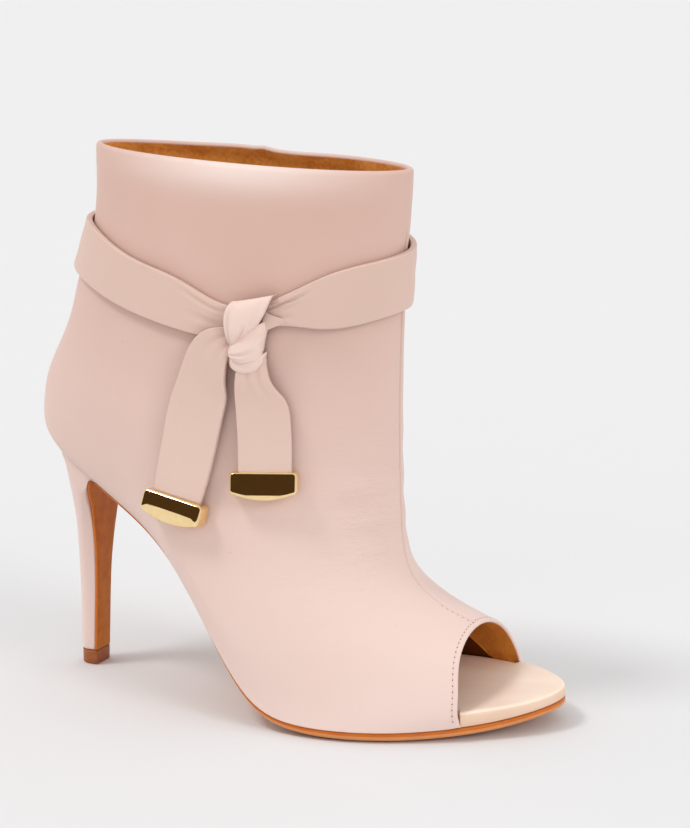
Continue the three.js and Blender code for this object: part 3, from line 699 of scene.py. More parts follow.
# %% Relief of the leather
def relief(level, turn):
    """How far the upper's leather stands out from the form."""
    points = form_point(level, turn)
    wrapped = from_front(turn)
    front = form_point(level, 0 * turn)
    across = np.linalg.norm(points - front, axis=-1) * np.sign(wrapped)
    near_front = np.abs(wrapped) < 0.9
    held = 1 - smooth(-3, -0.5, before_edge(level, turn))
    raised = np.where(near_front & (across < 0), SEAM_RISE * np.exp(-(across / SEAM_SPREAD) ** 2), 0) * held
    groove = GROOVE_DEPTH * np.exp(-((across - GROOVE_SET) / GROOVE_WIDTH) ** 2)
    groove = np.where(near_front, groove, 0) * held
    inner = form_point(level, SIDE_SEAM_TURN + 0 * turn)
    beside = np.linalg.norm(points - inner, axis=-1)
    side_groove = SIDE_GROOVE_DEPTH * np.exp(-(beside / SIDE_GROOVE_WIDTH) ** 2)
    side_groove = side_groove * (np.abs(turn % (2 * math.pi) - SIDE_SEAM_TURN) < 0.5)
    degrees = np.degrees(turn) % 360
    low, high = strap_low(degrees), strap_high(degrees)
    z = points[..., 2]
    pinch = PINCH * smooth(low - 7, low + 2, z) * (1 - smooth(high - 2, high + 7, z))
    side = np.where(np.sin(turn) > 0, -1, 1)
    away = np.abs(np.sin(turn)) ** 0.3
    waves = WAVE * np.sin(points[..., 0] / 17 + z / 23) * np.sin(z / 19 - points[..., 0] / 31 + 1.7 * side)
    return raised - groove - side_groove - pinch - crease_depth(points, side) * away + waves * away


print("creases:", len(CREASES["side"]))


# %% [markdown]
# ## Upper
# The upper is a closed wall, 2.4 mm thick and thinner at the toe's edge. It is open at the collar,
# underneath and at the toe. Its grid runs
# round the boot in columns. Each column climbs the outside, turns over the collar, goes down the lining
# and turns under the edge again. The toe is cut by a leaning plane, and a column stands exactly at each
# lower corner of the cut, so that the edge is clean.

# %% Columns round the boot
def crossing(ahead, low, high):
    """Where a condition ends, between a place that meets it and one that doesn't."""
    for _ in range(40):
        middle = (low + high) / 2
        met = ahead(middle)
        low, high = np.where(met, middle, low), np.where(met, high, middle)
    return (low + high) / 2


def spread(stops):
    """Turns in degrees between stops, each stretch with its own number of steps."""
    parts = [np.linspace(a, b, n, endpoint=False) for (a, n), (b, _) in zip(stops[:-1], stops[1:])]
    return np.radians(np.concatenate(parts))


# The toe's sides bulge over the sole, so the columns at its corners slant back with the cut.
slant_levels = np.linspace(0, 0.35, 120)
corner_turns, slants = {}, {}
for side in (1, -1):
    edge_turn = crossing(lambda turn: before_edge(slant_levels, side * turn) > 0,
                         np.full(120, 0.1), np.full(120, 1.5))
    corner_turns[side] = edge_turn[0]
    slants[side] = np.maximum.accumulate(edge_turn - edge_turn[0]) + 0.12 * (1 - np.exp(-slant_levels / 0.12))


def slanted(level, turn):
    """Turn of a column at a level. turn: where the column starts at the feather line."""
    wrapped = from_front(turn)
    shift = 0
    for side in (1, -1):
        past = side * wrapped - corner_turns[side]
        window = smooth(-0.55, -0.1, past) * (1 - smooth(0.12, 0.8, past))
        shift = shift + side * window * np.interp(level, slant_levels, slants[side])
    return turn + shift


outer_degrees, inner_degrees = (math.degrees(corner_turns[side]) for side in (1, -1))
seam_degrees = math.degrees(SIDE_SEAM_TURN)
turns = spread([(0, 14), (3.5, 8), (9, 34), (outer_degrees, 10), (outer_degrees + 6, 84), (180, 60),
                (seam_degrees - 3, 16), (seam_degrees + 3, 34), (354 - inner_degrees, 10),
                (360 - inner_degrees, 34), (351, 8), (356.5, 14), (360, 0)])
opened = before_edge(0.0, turns) > 1e-6
edge_level = np.where(opened, crossing(lambda level: before_edge(level, slanted(level, turns)) > 0,
                                       np.zeros(len(turns)), np.full(len(turns), 0.6)), 0)
print("columns:", len(turns), "toe corners at", round(outer_degrees), "and", round(inner_degrees), "degrees")

# %% Wall of the upper
EDGE_WALL = 1.3
COLLAR_WALL = 2.3
COLLAR_ROLL = 1.9
ROLL_HEIGHT = 9
TURN_RADIUS = 0.65
SEAT_RADIUS = 0.3
COLLAR_RADIUS = 1.15
LINING_SEAM_TURN = -0.83
LINING_TOP = 0.36


def skin_point(level, turn, distance=0.0):
    """A point of the outside. Both sides of the shaft roll inwards to the collar."""
    under_rim = form_point(1.0, turn)[..., 2] - form_point(level, turn)[..., 2]
    roll = COLLAR_ROLL * np.clip(1 - under_rim / ROLL_HEIGHT, 0, 1) ** 2 * np.abs(np.sin(turn))
    return offset_point(level, turn, relief(level, turn) + distance - roll)


seam_top = form_point(1.0, SIDE_SEAM_TURN)


def collar_wave(points):
    """The inner side's rim is a little uneven: higher at its seam and lower in front of it."""
    ahead = points[..., 0] - seam_top[0]
    wave = 0.5 * np.exp(-((ahead + 1) / 2.8) ** 2) - 0.8 * ahead / 12 * np.exp(-(ahead / 16) ** 2)
    return wave * smooth(2, 14, points[..., 1]) * smooth(-22, 0, points[..., 2] - seam_top[2])


def turned_edge(level, turn, wall, radius, outward, steps=5):
    """Rounded edge of the wall, from outside to inside. outward: 1 at the collar, -1 below."""
    normal = form_normal(level, turn)
    up = unit(form_up(level, turn)) * outward
    corner = skin_point(level, turn)
    radius = np.broadcast_to(radius, level.shape)[:, None]
    rows = []
    for k, angle in enumerate(np.linspace(0, math.pi, 2 * steps - 1)):
        inward = radius if k < steps else wall[:, None] - radius
        out, rise = math.cos(angle) * radius - inward, (math.sin(angle) - 1) * radius
        rows.append(corner + normal * out + up * rise)
    return rows


# %% Rows of the wall
edge_turns, top_turns = slanted(edge_level, turns), slanted(1.0, turns)
pace = np.linalg.norm(form_up(edge_level, edge_turns), axis=-1)
top_pace = np.linalg.norm(form_up(np.ones(len(turns)), top_turns), axis=-1)
edge_radius = between(SEAT_RADIUS, TURN_RADIUS, smooth(-4, 0, before_edge(0.0, turns)))
bottom_level = edge_level + edge_radius / pace
top_level = 1 - COLLAR_RADIUS / top_pace
OUTER_ROWS = 150
rise = np.linspace(0, 1, OUTER_ROWS)
rise = between(rise, smooth(0, 1, rise), 0.35)
outer_rows = []
for share in rise:
    level = between(bottom_level, top_level, share)
    outer_rows.append(skin_point(level, slanted(level, turns)))

edge_wall = np.where(opened, EDGE_WALL, WALL)
collar_rows = turned_edge(np.ones(len(turns)), top_turns, np.full(len(turns), COLLAR_WALL), COLLAR_RADIUS, 1)
bottom_rows = turned_edge(edge_level, edge_turns, edge_wall, edge_radius, -1)

inner_levels = [between(top_level, bottom_level, t) for t in np.linspace(0, 1, 76)]
inner_rows = []
for levels in inner_levels:
    thick = between(edge_wall, WALL, smooth(0, 9, (levels - bottom_level) * pace))
    inner_rows.append(offset_point(levels, slanted(levels, turns), -thick))

rows = [*outer_rows, *collar_rows[1:], *inner_rows[1:], *bottom_rows[::-1][1:-1]]
wall_points = np.stack(rows)
wall_points[..., 2] += collar_wave(wall_points)
# %% Finishes of the wall
faces = grid_faces(len(rows), len(turns), True, True)
outer_end = len(outer_rows) + len(collar_rows) - 2
inner_end = outer_end + len(inner_levels) - 1
part = np.zeros(faces.shape[:2], int)
part[outer_end:inner_end] = 1
middle_level = np.stack(inner_levels[:inner_end - outer_end])
lined = part[outer_end:inner_end]
lined[middle_level < LINING_TOP] = 2
# Behind the lining's seam the toe lining takes the dark copy: painted shade.
lined[(middle_level < LINING_TOP) & (np.abs(from_front(turns)) > -LINING_SEAM_TURN)[None]] = 3
add_piece("upper_wall", wall_points, faces, [upper_leather, suede_lining, toe_lining, toe_lining_painted_shade],
          "upper_leather", part, "upper")

# %% [markdown]
# ## Stitches
# A row of stitches holds the front seam flat, another holds the turned edge of the toe, and a third the
# fold inside the collar. The thread has the leather's colour, so what shows is the row of needle holes.
# Holes and threads are small beads, joined into one mesh for each kind, and the holes' dark colour is
# painted shade. The toe's lining is sewn from two parts, and their seam is a thin ridge; the part behind
# it is darker, as painted shade.

# %% Stitches
STITCH = 2.1
FOLD_STITCH = 2.4
SEAM_OFFSET = 1.3
HOLE_SIZE = (0.55, 0.5, 0.12)
THREAD_SIZE = (1.3, 0.3, 0.14)


def surface_path(level, turn, distance=0.0):
    points = skin_point(level, turn, distance)
    return points, form_normal(level, turn)


seam_levels = np.linspace(edge_level[0] + 0.004, 0.36, 200)
small_turn = 0.01
beside_seam = np.linalg.norm(form_point(seam_levels, small_turn) - form_point(seam_levels, 0.0), axis=-1)
seam_turn = SEAM_OFFSET / beside_seam * small_turn
front_path = surface_path(seam_levels, seam_turn)

# Over the toes the row is found level by turn, and down the sides turn by level.
TOE_ROW_SET = 1.7
OVER = 0.5
over_turns = np.linspace(OVER, -OVER, 160)
over_levels = crossing(lambda level: before_edge(level, over_turns) > -TOE_ROW_SET, np.full(160, 0.04),
                       np.full(160, 0.6))
row_levels, row_turns = [over_levels], [over_turns]
for side, end in ((1, 0), (-1, -1)):
    down = np.linspace(0.02, over_levels[end], 60)
    found = side * crossing(lambda turn: before_edge(down, side * turn) > -TOE_ROW_SET, np.full(60, 0.3),
                            np.full(60, 1.5))
    if side > 0:
        row_levels, row_turns = [down[:-1], *row_levels], [found[:-1], *row_turns]
    else:
        row_levels, row_turns = [*row_levels, down[-2::-1]], [*row_turns, found[-2::-1]]
toe_path = surface_path(np.concatenate(row_levels), np.concatenate(row_turns))

hole_parts, thread_parts = [], []
for path in (front_path, toe_path):
    place, along, out = spaced(*path, STITCH, start=1.0)
    hole_parts.append((place + out * 0.03, along, out))
    thread_parts.append((place + along * STITCH / 2 + out * 0.02, along, out))
fold_turns = np.linspace(0, 2 * math.pi, 500)
fold_level = 1 - COLLAR_RADIUS / np.interp(fold_turns, np.append(turns, 2 * math.pi),
                                              np.append(top_pace, top_pace[0]))
fold_path = skin_point(fold_level, fold_turns, -COLLAR_WALL)
fold_path[:, 2] += collar_wave(fold_path)
thread_parts.append(spaced(fold_path, -form_normal(fold_level, fold_turns), FOLD_STITCH))


def joined(parts, size):
    centres, along, out = (np.concatenate([part[i] for part in parts]) for i in range(3))
    return bead_mesh(centres, along, out, size)


add_piece("needle_holes", *joined(hole_parts, HOLE_SIZE), [needle_hole_shade], "upper_leather")
add_piece("threads", *joined(thread_parts, THREAD_SIZE), [thread], "upper_leather")

# %% Seam of the toe's lining
def ridge(path, out, width, height, sides=8):
    """A thin raised line on a surface, as closed rings along a path."""
    along = unit(np.gradient(path, axis=0))
    across = unit(np.cross(out, along))
    round_ = np.arange(sides)[None, :, None] * 2 * math.pi / sides
    ends = np.sqrt(np.maximum(0.02, 1 - np.linspace(-1, 1, len(path)) ** 8))[:, None, None]
    return path[:, None] + ends * (across[:, None] * np.cos(round_) * width / 2
                                   + out[:, None] * np.sin(round_) * height)


lining_levels = np.linspace(0.07, 0.34, 60)
lining_turns = slanted(lining_levels, np.full(60, LINING_SEAM_TURN))
lining_path = offset_point(lining_levels, lining_turns, np.full(60, -WALL))
ridge_points = ridge(lining_path, -form_normal(lining_levels, lining_turns), 0.8, 0.3)
add_piece("lining_seam", ridge_points, tube_faces(*ridge_points.shape[:2]), [toe_lining], "upper_leather")

# %% [markdown]
# ## Insole, outsole, heel and tip
# The insole is a board covered with leather, and its front end shows in the peep toe with a soft round
# rim. The outsole is thin at the waist, bevelled all round, and turns down the breast of the heel as a
# flap. The heel is a moulded core wrapped in the upper's leather, and it stands on a small tip.

# %% Outlines of the bottom
CUT_GAP = -0.12
front_turns = []
for side in (1, -1):
    at = crossing(lambda turn: before_edge(0.0, side * turn) > CUT_GAP, 0.1, 1.5)
    front_turns += [(side * at - 0.0008) % (2 * math.pi), (side * at + 0.0008) % (2 * math.pi)]
bottom_turns = np.sort(np.concatenate([turns, front_turns]))


def bottom_outline(inset, at=None):
    """Outline of the boot's bottom in plan, pulled in by an inset."""
    at = bottom_turns if at is None else at
    step = 1e-3
    point = form_point(0.0, at)
    along = form_point(0.0, at + step) - form_point(0.0, at - step)
    inward = unit(np.stack([along[..., 1], -along[..., 0], 0 * along[..., 0]], -1))
    return point + inward * np.asarray(inset, float)[..., None]


def middle_of(outline):
    """Points on the middle line, each at its outline point's place along the boot."""
    spine = outline.copy()
    held = np.clip(outline[..., 0], sole_x(0.06), sole_x(0.95))
    spine[..., 0] = held
    spine[..., 1] = centre_curve(sole_along(held)) * BALL_WIDTH
    return spine


def inward_rows(edge, steps, height):
    """Rows from a ring to the middle line. height: works out how high each row lies."""
    rows = []
    for share in np.linspace(0, 1, steps)[1:]:
        row = between(edge, middle_of(edge), share)
        row[..., 2] = height(row, share)
        rows.append(row)
    return rows


print("bottom outline:", len(bottom_turns), "points")

# %% Insole
INSOLE_THICKNESS = 5.4
INSOLE_TOE_THICKNESS = 4
SOLE_INSET = 0.5
RIM = 1.6
UNDER_GAP = 0.05
PADDING = 0.25

in_front = before_edge(0.0, bottom_turns) > CUT_GAP
insole_inset = np.where(in_front, SOLE_INSET, SOLE_INSET + WALL + GAP)


def insole_top(points, lowered=0.0):
    """Height of the insole's face. It grows thinner to its front end and rises a little inwards."""
    x, y = points[..., 0], points[..., 1]
    share = np.clip((sole_x(1) - x) / TOE_OPENING, 0, 1)
    thick = between(INSOLE_TOE_THICKNESS, INSOLE_THICKNESS, smooth(0, 1, share))
    cupped = between(0.9, 2.8, np.clip((sole_x(1) - x) / 45, 0, 1)) * smooth(-12, 34, y) * smooth(90, 130, x)
    return feather_height(x) + thick + cupped - lowered


def insole_row(inset, height=None, lowered=0.0):
    outline = bottom_outline(insole_inset + inset)
    if height is None:
        outline[..., 2] = insole_top(outline, lowered)
    else:
        outline[..., 2] = feather_height(outline[..., 0]) + height
    return outline


insole_rows = [insole_row(0.4, UNDER_GAP), insole_row(0.0, 0.35), insole_row(0.0, lowered=RIM)]
for angle in np.linspace(0, math.pi / 2, 7)[1:]:
    insole_rows.append(insole_row(RIM * (1 - math.cos(angle)), lowered=RIM * (1 - math.sin(angle))))
insole_rows += inward_rows(insole_row(RIM), 14,
                           lambda row, share: insole_top(row) + PADDING * smooth(0, 0.5, share))
insole_under = inward_rows(insole_row(0.4, UNDER_GAP), 6,
                           lambda row, share: feather_height(row[..., 0]) + UNDER_GAP)
insole_rows = insole_under[::-1] + insole_rows
insole_points = np.stack(insole_rows)
faces = grid_faces(len(insole_rows), len(bottom_turns), False, True)
part = np.zeros(faces.shape[:2], int)
# The side and the start of the rim take the darker copy: painted shade.
part[5:9] = 1
add_piece("insole_board", insole_points, faces, [insole_leather, insole_side_painted_shade], "insole_leather", part,
          "insole")

# %% Outsole
FLAP_THICKNESS = 1.6
BREAST_SET = 11
SOLE_BEVEL = 5


def softened(columns, key, at, names):
    """Some columns of a table at a place, each the mean of three readings, so that no corner shows."""
    return [sum(np.interp(at + shift, columns[key], columns[name]) for shift in (-0.03, 0, 0.03)) / 3
            for name in names.split()]


def sole_sizes(x):
    """Top and thickness of the sole, and the share of it that stands upright at the side."""
    thick, upright = softened(FEATHER_LINE, "along", sole_along(x), "thick upright")
    return feather_height(x) - GAP, SOLE_THICKNESS * thick, upright


def sole_row(inset, upright_share, bevel_share):
    """A ring of the outsole, down its upright side and then down its bevel."""
    outline = bottom_outline(np.full(len(bottom_turns), SOLE_INSET + inset))
    top, thick, upright = sole_sizes(outline[..., 0])
    share = upright * upright_share + (1 - upright) * bevel_share
    outline[..., 2] = np.maximum(0, top - share * thick)
    return outline


flap_back = BREAST_SET - FLAP_THICKNESS
LIP_DROP = 1.3
LIP_LENGTH = 5
SOLE_SIDE = [(0.25, 0, 0), (0.0, 0.15, 0), (-0.1, 0.5, 0), (0.0, 0.85, 0), (0.35, 1.0, 0.1),
             (1.7, 1.0, 0.45), (3.4, 1.0, 0.8), (SOLE_BEVEL, 1.0, 1.0)]


def sole_roof(row, share):
    return feather_height(row[..., 0]) - GAP


def sole_foot(row, share):
    top, thick, _ = sole_sizes(row[..., 0])
    return np.maximum(0, top - thick)


sole_rows = inward_rows(sole_row(0.0, 0.0, 0.0), 6, sole_roof)[::-1]
sole_rows += [sole_row(*sizes) for sizes in SOLE_SIDE]
sole_rows += inward_rows(sole_row(SOLE_BEVEL, 1.0, 1.0), 10, sole_foot)
sole_points = np.stack(sole_rows)
sole_points[..., 0] = np.maximum(sole_points[..., 0], flap_back)
lip = LIP_DROP * (1 - smooth(0, LIP_LENGTH, sole_points[..., 0] - flap_back))
sole_points[..., 2] = np.minimum(sole_points[..., 2], feather_height(sole_points[..., 0]) - GAP - lip)
faces = grid_faces(len(sole_rows), len(bottom_turns), False, True)
part = np.zeros(faces.shape[:2], int)
part[5:7] = 2
part[7:10] = 1
add_piece("sole_plate", sole_points, faces, [outsole_leather, edge_leather, edge_stain], "outsole_leather",
          part, "outsole")

# %% Heel sizes
TIP_LENGTH = 8
TIP_WIDTH = 9.9
TIP_HEIGHT = 5.5
SEAT_WIDTH = 38
HEEL_STRAIGHT = 0.36
HEEL_SECTIONS = table("rise back breast half taper", [
    (0.0, 0.0, 0.0, 0.0, 0),
    (0.233, 0.045, 0.11, 0.0, 0),
    (0.349, 0.05, 0.17, 0.0, 0),
    (0.465, 0.095, 0.22, 0.036, 0),
    (0.547, 0.105, 0.28, 0.1, 0),
    (0.605, 0.13, 0.31, 0.157, 0.05),
    (0.663, 0.2, 0.35, 0.25, 0.2),
    (0.709, 0.29, 0.38, 0.35, 0.4),
    (0.756, 0.365, 0.44, 0.52, 0.6),
    (0.814, 0.475, 0.61, 0.795, 0.85),
    (0.86, 0.53, 0.86, 1.0, 0.85),
    (0.93, 0.72, 1.0, 1.0, 0.6),
    (0.977, 0.88, 1.0, 1.0, 0.3),
    (1.02, 1.0, 1.0, 1.0, 0),
])

# %% Sections of the heel
def heel_sizes(height):
    """Back, breast, half width and taper of the heel at a height."""
    rise = np.asarray(height, float) / SEAT_HEIGHT
    back, breast, half, taper = softened(HEEL_SECTIONS, "rise", rise, "back breast half taper")
    return (between(-TIP_LENGTH / 2, sole_x(0), back), between(TIP_LENGTH / 2, BREAST_SET, breast),
            between(TIP_WIDTH / 2, SEAT_WIDTH / 2, half), taper)


SEAT_GAP = 0.12
outer_edge = bottom_outline(np.full(200, SOLE_INSET), np.linspace(math.pi / 2, math.pi, 200))[::-1]
inner_edge = bottom_outline(np.full(200, SOLE_INSET), np.linspace(math.pi, 1.5 * math.pi, 200))


def under_seat(points, gap=SEAT_GAP):
    """Keeps points inside the outline of the bottom and under the seat."""
    x = np.maximum(points[..., 0], sole_x(0) + SOLE_INSET)
    y = np.clip(points[..., 1], np.interp(x, outer_edge[:, 0], outer_edge[:, 1]),
                np.interp(x, inner_edge[:, 0], inner_edge[:, 1]))
    z = np.minimum(points[..., 2], feather_height(x) - gap)
    return np.stack([x, y, z], -1)


def heel_ring(height, cut_back, corner, shrink=0.0, lip=0.0, arc=26):
    """A section: flat at the breast with rounded corners, round at the back.
    lip: how far its front is drawn out over the sole."""
    back, breast, half, taper = heel_sizes(height)
    back, half = back + shrink, half - shrink
    front = breast - cut_back - shrink
    middle = front - (breast - back) * HEEL_STRAIGHT
    angle = np.linspace(math.pi / 2, 1.5 * math.pi, arc)
    tapered = back + (front - corner - back) * np.sin(angle) ** 2
    x, y = between(middle + (middle - back) * np.cos(angle), tapered, taper), half * np.sin(angle)
    turn = np.linspace(0, math.pi / 2, 4)
    corner_x, corner_y = front - corner + corner * np.cos(turn), half - corner + corner * np.sin(turn)
    x = np.concatenate([[front + lip], corner_x + lip, x, corner_x[::-1] + lip])
    y = np.concatenate([[0], corner_y, y, -corner_y[::-1]])
    return np.stack([x, y, np.full(len(x), float(height))], -1)


print("heel:", TIP_WIDTH, "mm wide at its foot and", SEAT_WIDTH, "mm at the seat")

# %% Heel
heel_foot = TIP_HEIGHT + GAP
heel_heights = np.concatenate([[heel_foot, heel_foot + 0.25], np.linspace(7, 73, 46),
                               np.linspace(73.5, SEAT_HEIGHT * 1.02, 34)])
FLAP_SIDE = 1.1
FLAP_GAP = 0.12
FLAP_DROP = 1.3
flap_top = feather_height(BREAST_SET) - FLAP_DROP
heel_lips = LIP_LENGTH * smooth(flap_top, flap_top + 1.5, heel_heights)
heel_rings = [heel_ring(h, FLAP_SIDE + FLAP_GAP, 0.5, 0.3 if i == 0 else 0.0, heel_lips[i])
              for i, h in enumerate(heel_heights)]
heel_points = under_seat(np.stack(heel_rings))
add_piece("heel_block", heel_points, tube_faces(*heel_points.shape[:2]), [upper_leather], "heel_cover",
          stands_for="heel")

# %% Flap on the breast
flap_heights = np.concatenate([np.linspace(heel_foot, 70, 40), np.linspace(70.5, 84, 20)])
_, breast_, half_, _ = heel_sizes(flap_heights)
half_ = half_ - 1.3 * smooth(54, 66, flap_heights) - 1.4 * smooth(flap_top - 2.5, flap_top, flap_heights) ** 2
across = np.array([-1, -0.99, -0.93, -0.6, -0.2, 0.2, 0.6, 0.93, 0.99, 1])
bulge = np.array([-0.55, -0.2, 0, 0, 0, 0, 0, 0, -0.2, -0.55])
front_side = np.stack([breast_[:, None] + bulge[None], half_[:, None] * across[None],
                       np.repeat(flap_heights[:, None], 10, 1)], -1)
back_side = front_side[:, ::-1].copy()
back_side[..., 0] = (breast_ - FLAP_SIDE)[:, None]
flap_points = under_seat(np.concatenate([front_side, back_side], 1), FLAP_DROP)
flap_faces = tube_faces(*flap_points.shape[:2])
flap_part = np.zeros((len(flap_points) - 1, flap_points.shape[1]), int)
flap_part[:, [0, 8, 9, 19]] = 1
flap_part = np.concatenate([flap_part.reshape(-1), np.zeros(len(flap_faces) - flap_part.size, int)])
add_piece("breast_flap", flap_points, flap_faces, [outsole_leather, edge_stain], "outsole_leather", flap_part)

# %% Heel tip
# Height of each ring and how far it is drawn in, so that both edges are round.
tip_steps = [(0, 0.35), (0.12, 0.12), (0.35, 0),
             (TIP_HEIGHT - 0.3, 0), (TIP_HEIGHT - 0.08, 0.08), (TIP_HEIGHT, 0.25)]
tip_points = np.stack([heel_ring(h, 0, 0.7, shrink) for h, shrink in tip_steps])
add_piece("heel_tip_pad", tip_points, tube_faces(*tip_points.shape[:2]), [tip_rubber], "heel_tip_rubber",
          stands_for="heel_tip", sharp=40)

# %% [markdown]
# ## Ankle strap
# The strap is one long strip of leather, folded double so that both edges are round. It circles the
# ankle, gathers at the outer side and is knotted. Its parts are drawn as strips: tables give both edges
# of each section in side view and how far the strip lies off the boot. A strip has a stadium section,
# a crown, and creases of its own.

# %% Strips of folded leather
STRAP_THICKNESS = 2.4
EDGE_ROUND = 0.22
CORNER_POINTS = 4


def strip_section(width, thick, flats):
    """Shares across a strip and heights over its middle, round a section with four round corners."""
    radius = np.minimum(thick * EDGE_ROUND, width / 3)
    angle = np.linspace(0, math.pi / 2, CORNER_POINTS + 2)[1:-1]
    near, half = (radius / width)[:, None], (thick / 2)[:, None]
    top = between(near, 1 - near, np.linspace(0, 1, flats)[None])
    outer = 1 - near + near * np.sin(angle)[None]
    high = half - radius[:, None] * (1 - np.cos(angle)[None])
    share = np.concatenate([top, outer, outer[:, ::-1], top[:, ::-1], 1 - outer, 1 - outer[:, ::-1]], 1)
    rise = np.concatenate([0 * top + half, high, -high[:, ::-1], 0 * top - half, -high, high[:, ::-1]], 1)
    return share, rise


def strip_points(rows, sections, flats, crown, folds=()):
    """Rings of a strip. rows: x and z of both edges, distance off the form, thickness.
    folds: share across, first and last share along, width as a share, and depth."""
    rows = np.array(rows, float)
    station = np.linspace(0, 1, len(rows))
    at = np.linspace(0, 1, sections)
    x1, z1, x2, z2, off, thick = (curve_through(station, rows[:, i])(at) for i in range(6))
    width = np.hypot(x2 - x1, z2 - z1)
    share, rise = strip_section(width, thick, flats)
    x, z = between(x1[:, None], x2[:, None], share), between(z1[:, None], z2[:, None], share)
    bow = crown * 4 * share * (1 - share)
    top = rise > 0
    dent = 0
    for centre, first, last, wide, depth in folds:
        fade = smooth(first - 0.08, first + 0.08, at) * (1 - smooth(last - 0.12, last + 0.12, at))
        line = (share - centre) / wide
        dent = dent + depth * fade[:, None] * (np.exp(-line ** 2) - 0.45 * np.exp(-(np.abs(line) - 1.7) ** 2))
    distance = off[:, None] + thick[:, None] / 2 + rise + bow - np.where(top, dent, 0)
    return side_point(x, z, distance)


def painted_shade_faces(faces, rings, flats):
    """Finish of a strip's faces: 1 for painted shade on the round edges' halves next to the boot and the
    underside, else 0.
    """
    part = np.zeros((rings, 2 * flats + 4 * CORNER_POINTS), int)
    part[:, flats + CORNER_POINTS:2 * flats + 3 * CORNER_POINTS] = 1
    return np.concatenate([part.reshape(-1), np.zeros(len(faces.reshape(-1, 4)) - part.size, int)])


def add_strip(name, points, flats, stands_for):
    faces = tube_faces(*points.shape[:2])
    part = painted_shade_faces(faces, len(points) - 1, flats)
    add_piece(name, points, faces, [strap_leather, strap_painted_shade], "strap_leather", part, stands_for)


# %% Band round the ankle
# turn and share: where a fold starts, in degrees and as a share of the height. It runs away from the knot.
BAND_FOLDS = table("turn share end_turn end_share width depth", [
    (70, 0.7, 52, 0.8, 0.045, 1.0),
    (67, 0.3, 57, 0.26, 0.08, 0.3),
    (86, 0.78, 104, 0.86, 0.05, 0.4),
    (86, 0.4, 100, 0.45, 0.09, 0.25),
    (168, 0.3, 205, 0.45, 0.14, 0.15),
    (330, 0.55, 392, 0.45, 0.16, 0.15),
])
band_turns = np.radians(np.concatenate([np.linspace(0, 40, 40, endpoint=False),
                                        np.linspace(40, 130, 110, endpoint=False),
                                        np.linspace(130, 360, 150, endpoint=False)]))
band_degrees = np.degrees(band_turns)
SEAM_LIFT = 0.45
BAND_CROWN = 0.15
BAND_FLATS = 22
low, high = strap_low(band_degrees), strap_high(band_degrees)
share, rise = strip_section(high - low, np.full(len(band_turns), STRAP_THICKNESS), BAND_FLATS)
dent = 0
for fold in rows_of(BAND_FOLDS):
    for lap in (0, 360):
        along = (band_degrees + lap - fold["turn"]) / (fold["end_turn"] - fold["turn"])
        middle = between(fold["share"], fold["end_share"], np.clip(along, 0, 1))[:, None]
        line = (share - middle) / fold["width"]
        fade = (smooth(-0.25, 0.05, along) * (1 - smooth(0.4, 1.0, along)))[:, None]
        dent = dent + fold["depth"] * fade * (np.exp(-line ** 2) - 0.5 * np.exp(-(np.abs(line) - 1.6) ** 2))
seam_lift = SEAM_LIFT * np.exp(-(from_front(band_turns) / 0.12) ** 2)[:, None]
band_level = level_at(band_turns[:, None] + 0 * share, between(low[:, None], high[:, None], share))
crown = BAND_CROWN * 4 * share * (1 - share)
distance = GAP + STRAP_THICKNESS / 2 + rise + crown + seam_lift - np.where(rise > 0, dent, 0)
band_points = offset_point(band_level, band_turns[:, None] + 0 * share, distance)
faces = grid_faces(*band_points.shape[:2], True, True)
# The band's faces towards the boot take the painted shade finish.
add_piece("ankle_band", band_points, faces, [strap_leather, strap_painted_shade], "strap_leather",
          painted_shade_faces(faces, len(band_points), BAND_FLATS), "strap_band")

# %% Tails
REAR_TAIL = [
    (76.5, 141.5, 77.5, 134.0, 2.0, 2.2),
    (72.0, 141.2, 75.8, 130.5, 3.6, 2.4),
    (66.8, 139.3, 75.0, 126.0, 3.8, 2.4),
    (61.6, 133.5, 74.8, 121.0, 3.4, 2.4),
    (57.4, 123.0, 75.2, 116.3, 2.6, 2.4),
    (54.0, 112.5, 74.2, 110.5, 2.2, 2.4),
    (52.2, 101.0, 72.3, 100.0, 2.1, 2.4),
    (51.0, 91.0, 70.2, 88.5, 2.1, 2.4),
    (50.3, 82.0, 67.7, 78.0, 2.1, 2.4),
]
FRONT_TAIL = [
    (79.5, 131.0, 88.5, 132.0, 2.0, 2.0),
    (78.6, 125.5, 89.4, 127.0, 3.0, 2.4),
    (78.3, 120.0, 91.6, 121.4, 3.0, 2.4),
    (78.5, 115.3, 95.6, 116.3, 2.4, 2.4),
    (79.1, 108.0, 97.2, 109.0, 2.1, 2.4),
    (79.9, 99.0, 97.8, 99.5, 2.1, 2.4),
    (80.3, 92.0, 98.0, 92.5, 2.1, 2.4),
    (80.6, 88.0, 98.2, 88.6, 2.1, 2.4),
]
TAIL_FLATS = 18
TAIL_CROWN = 0.2
rear_tail = strip_points(REAR_TAIL, 90, TAIL_FLATS, TAIL_CROWN,
                         [(0.35, 0.0, 0.3, 0.08, 0.35), (0.7, 0.0, 0.22, 0.07, 0.3)])
front_tail = strip_points(FRONT_TAIL, 80, TAIL_FLATS, TAIL_CROWN,
                          [(0.35, 0.0, 0.3, 0.08, 0.35), (0.68, 0.0, 0.35, 0.08, 0.3)])
add_strip("rear_tail", rear_tail, TAIL_FLATS, "strap_tail_rear")
add_strip("front_tail", front_tail, TAIL_FLATS, "strap_tail_front")

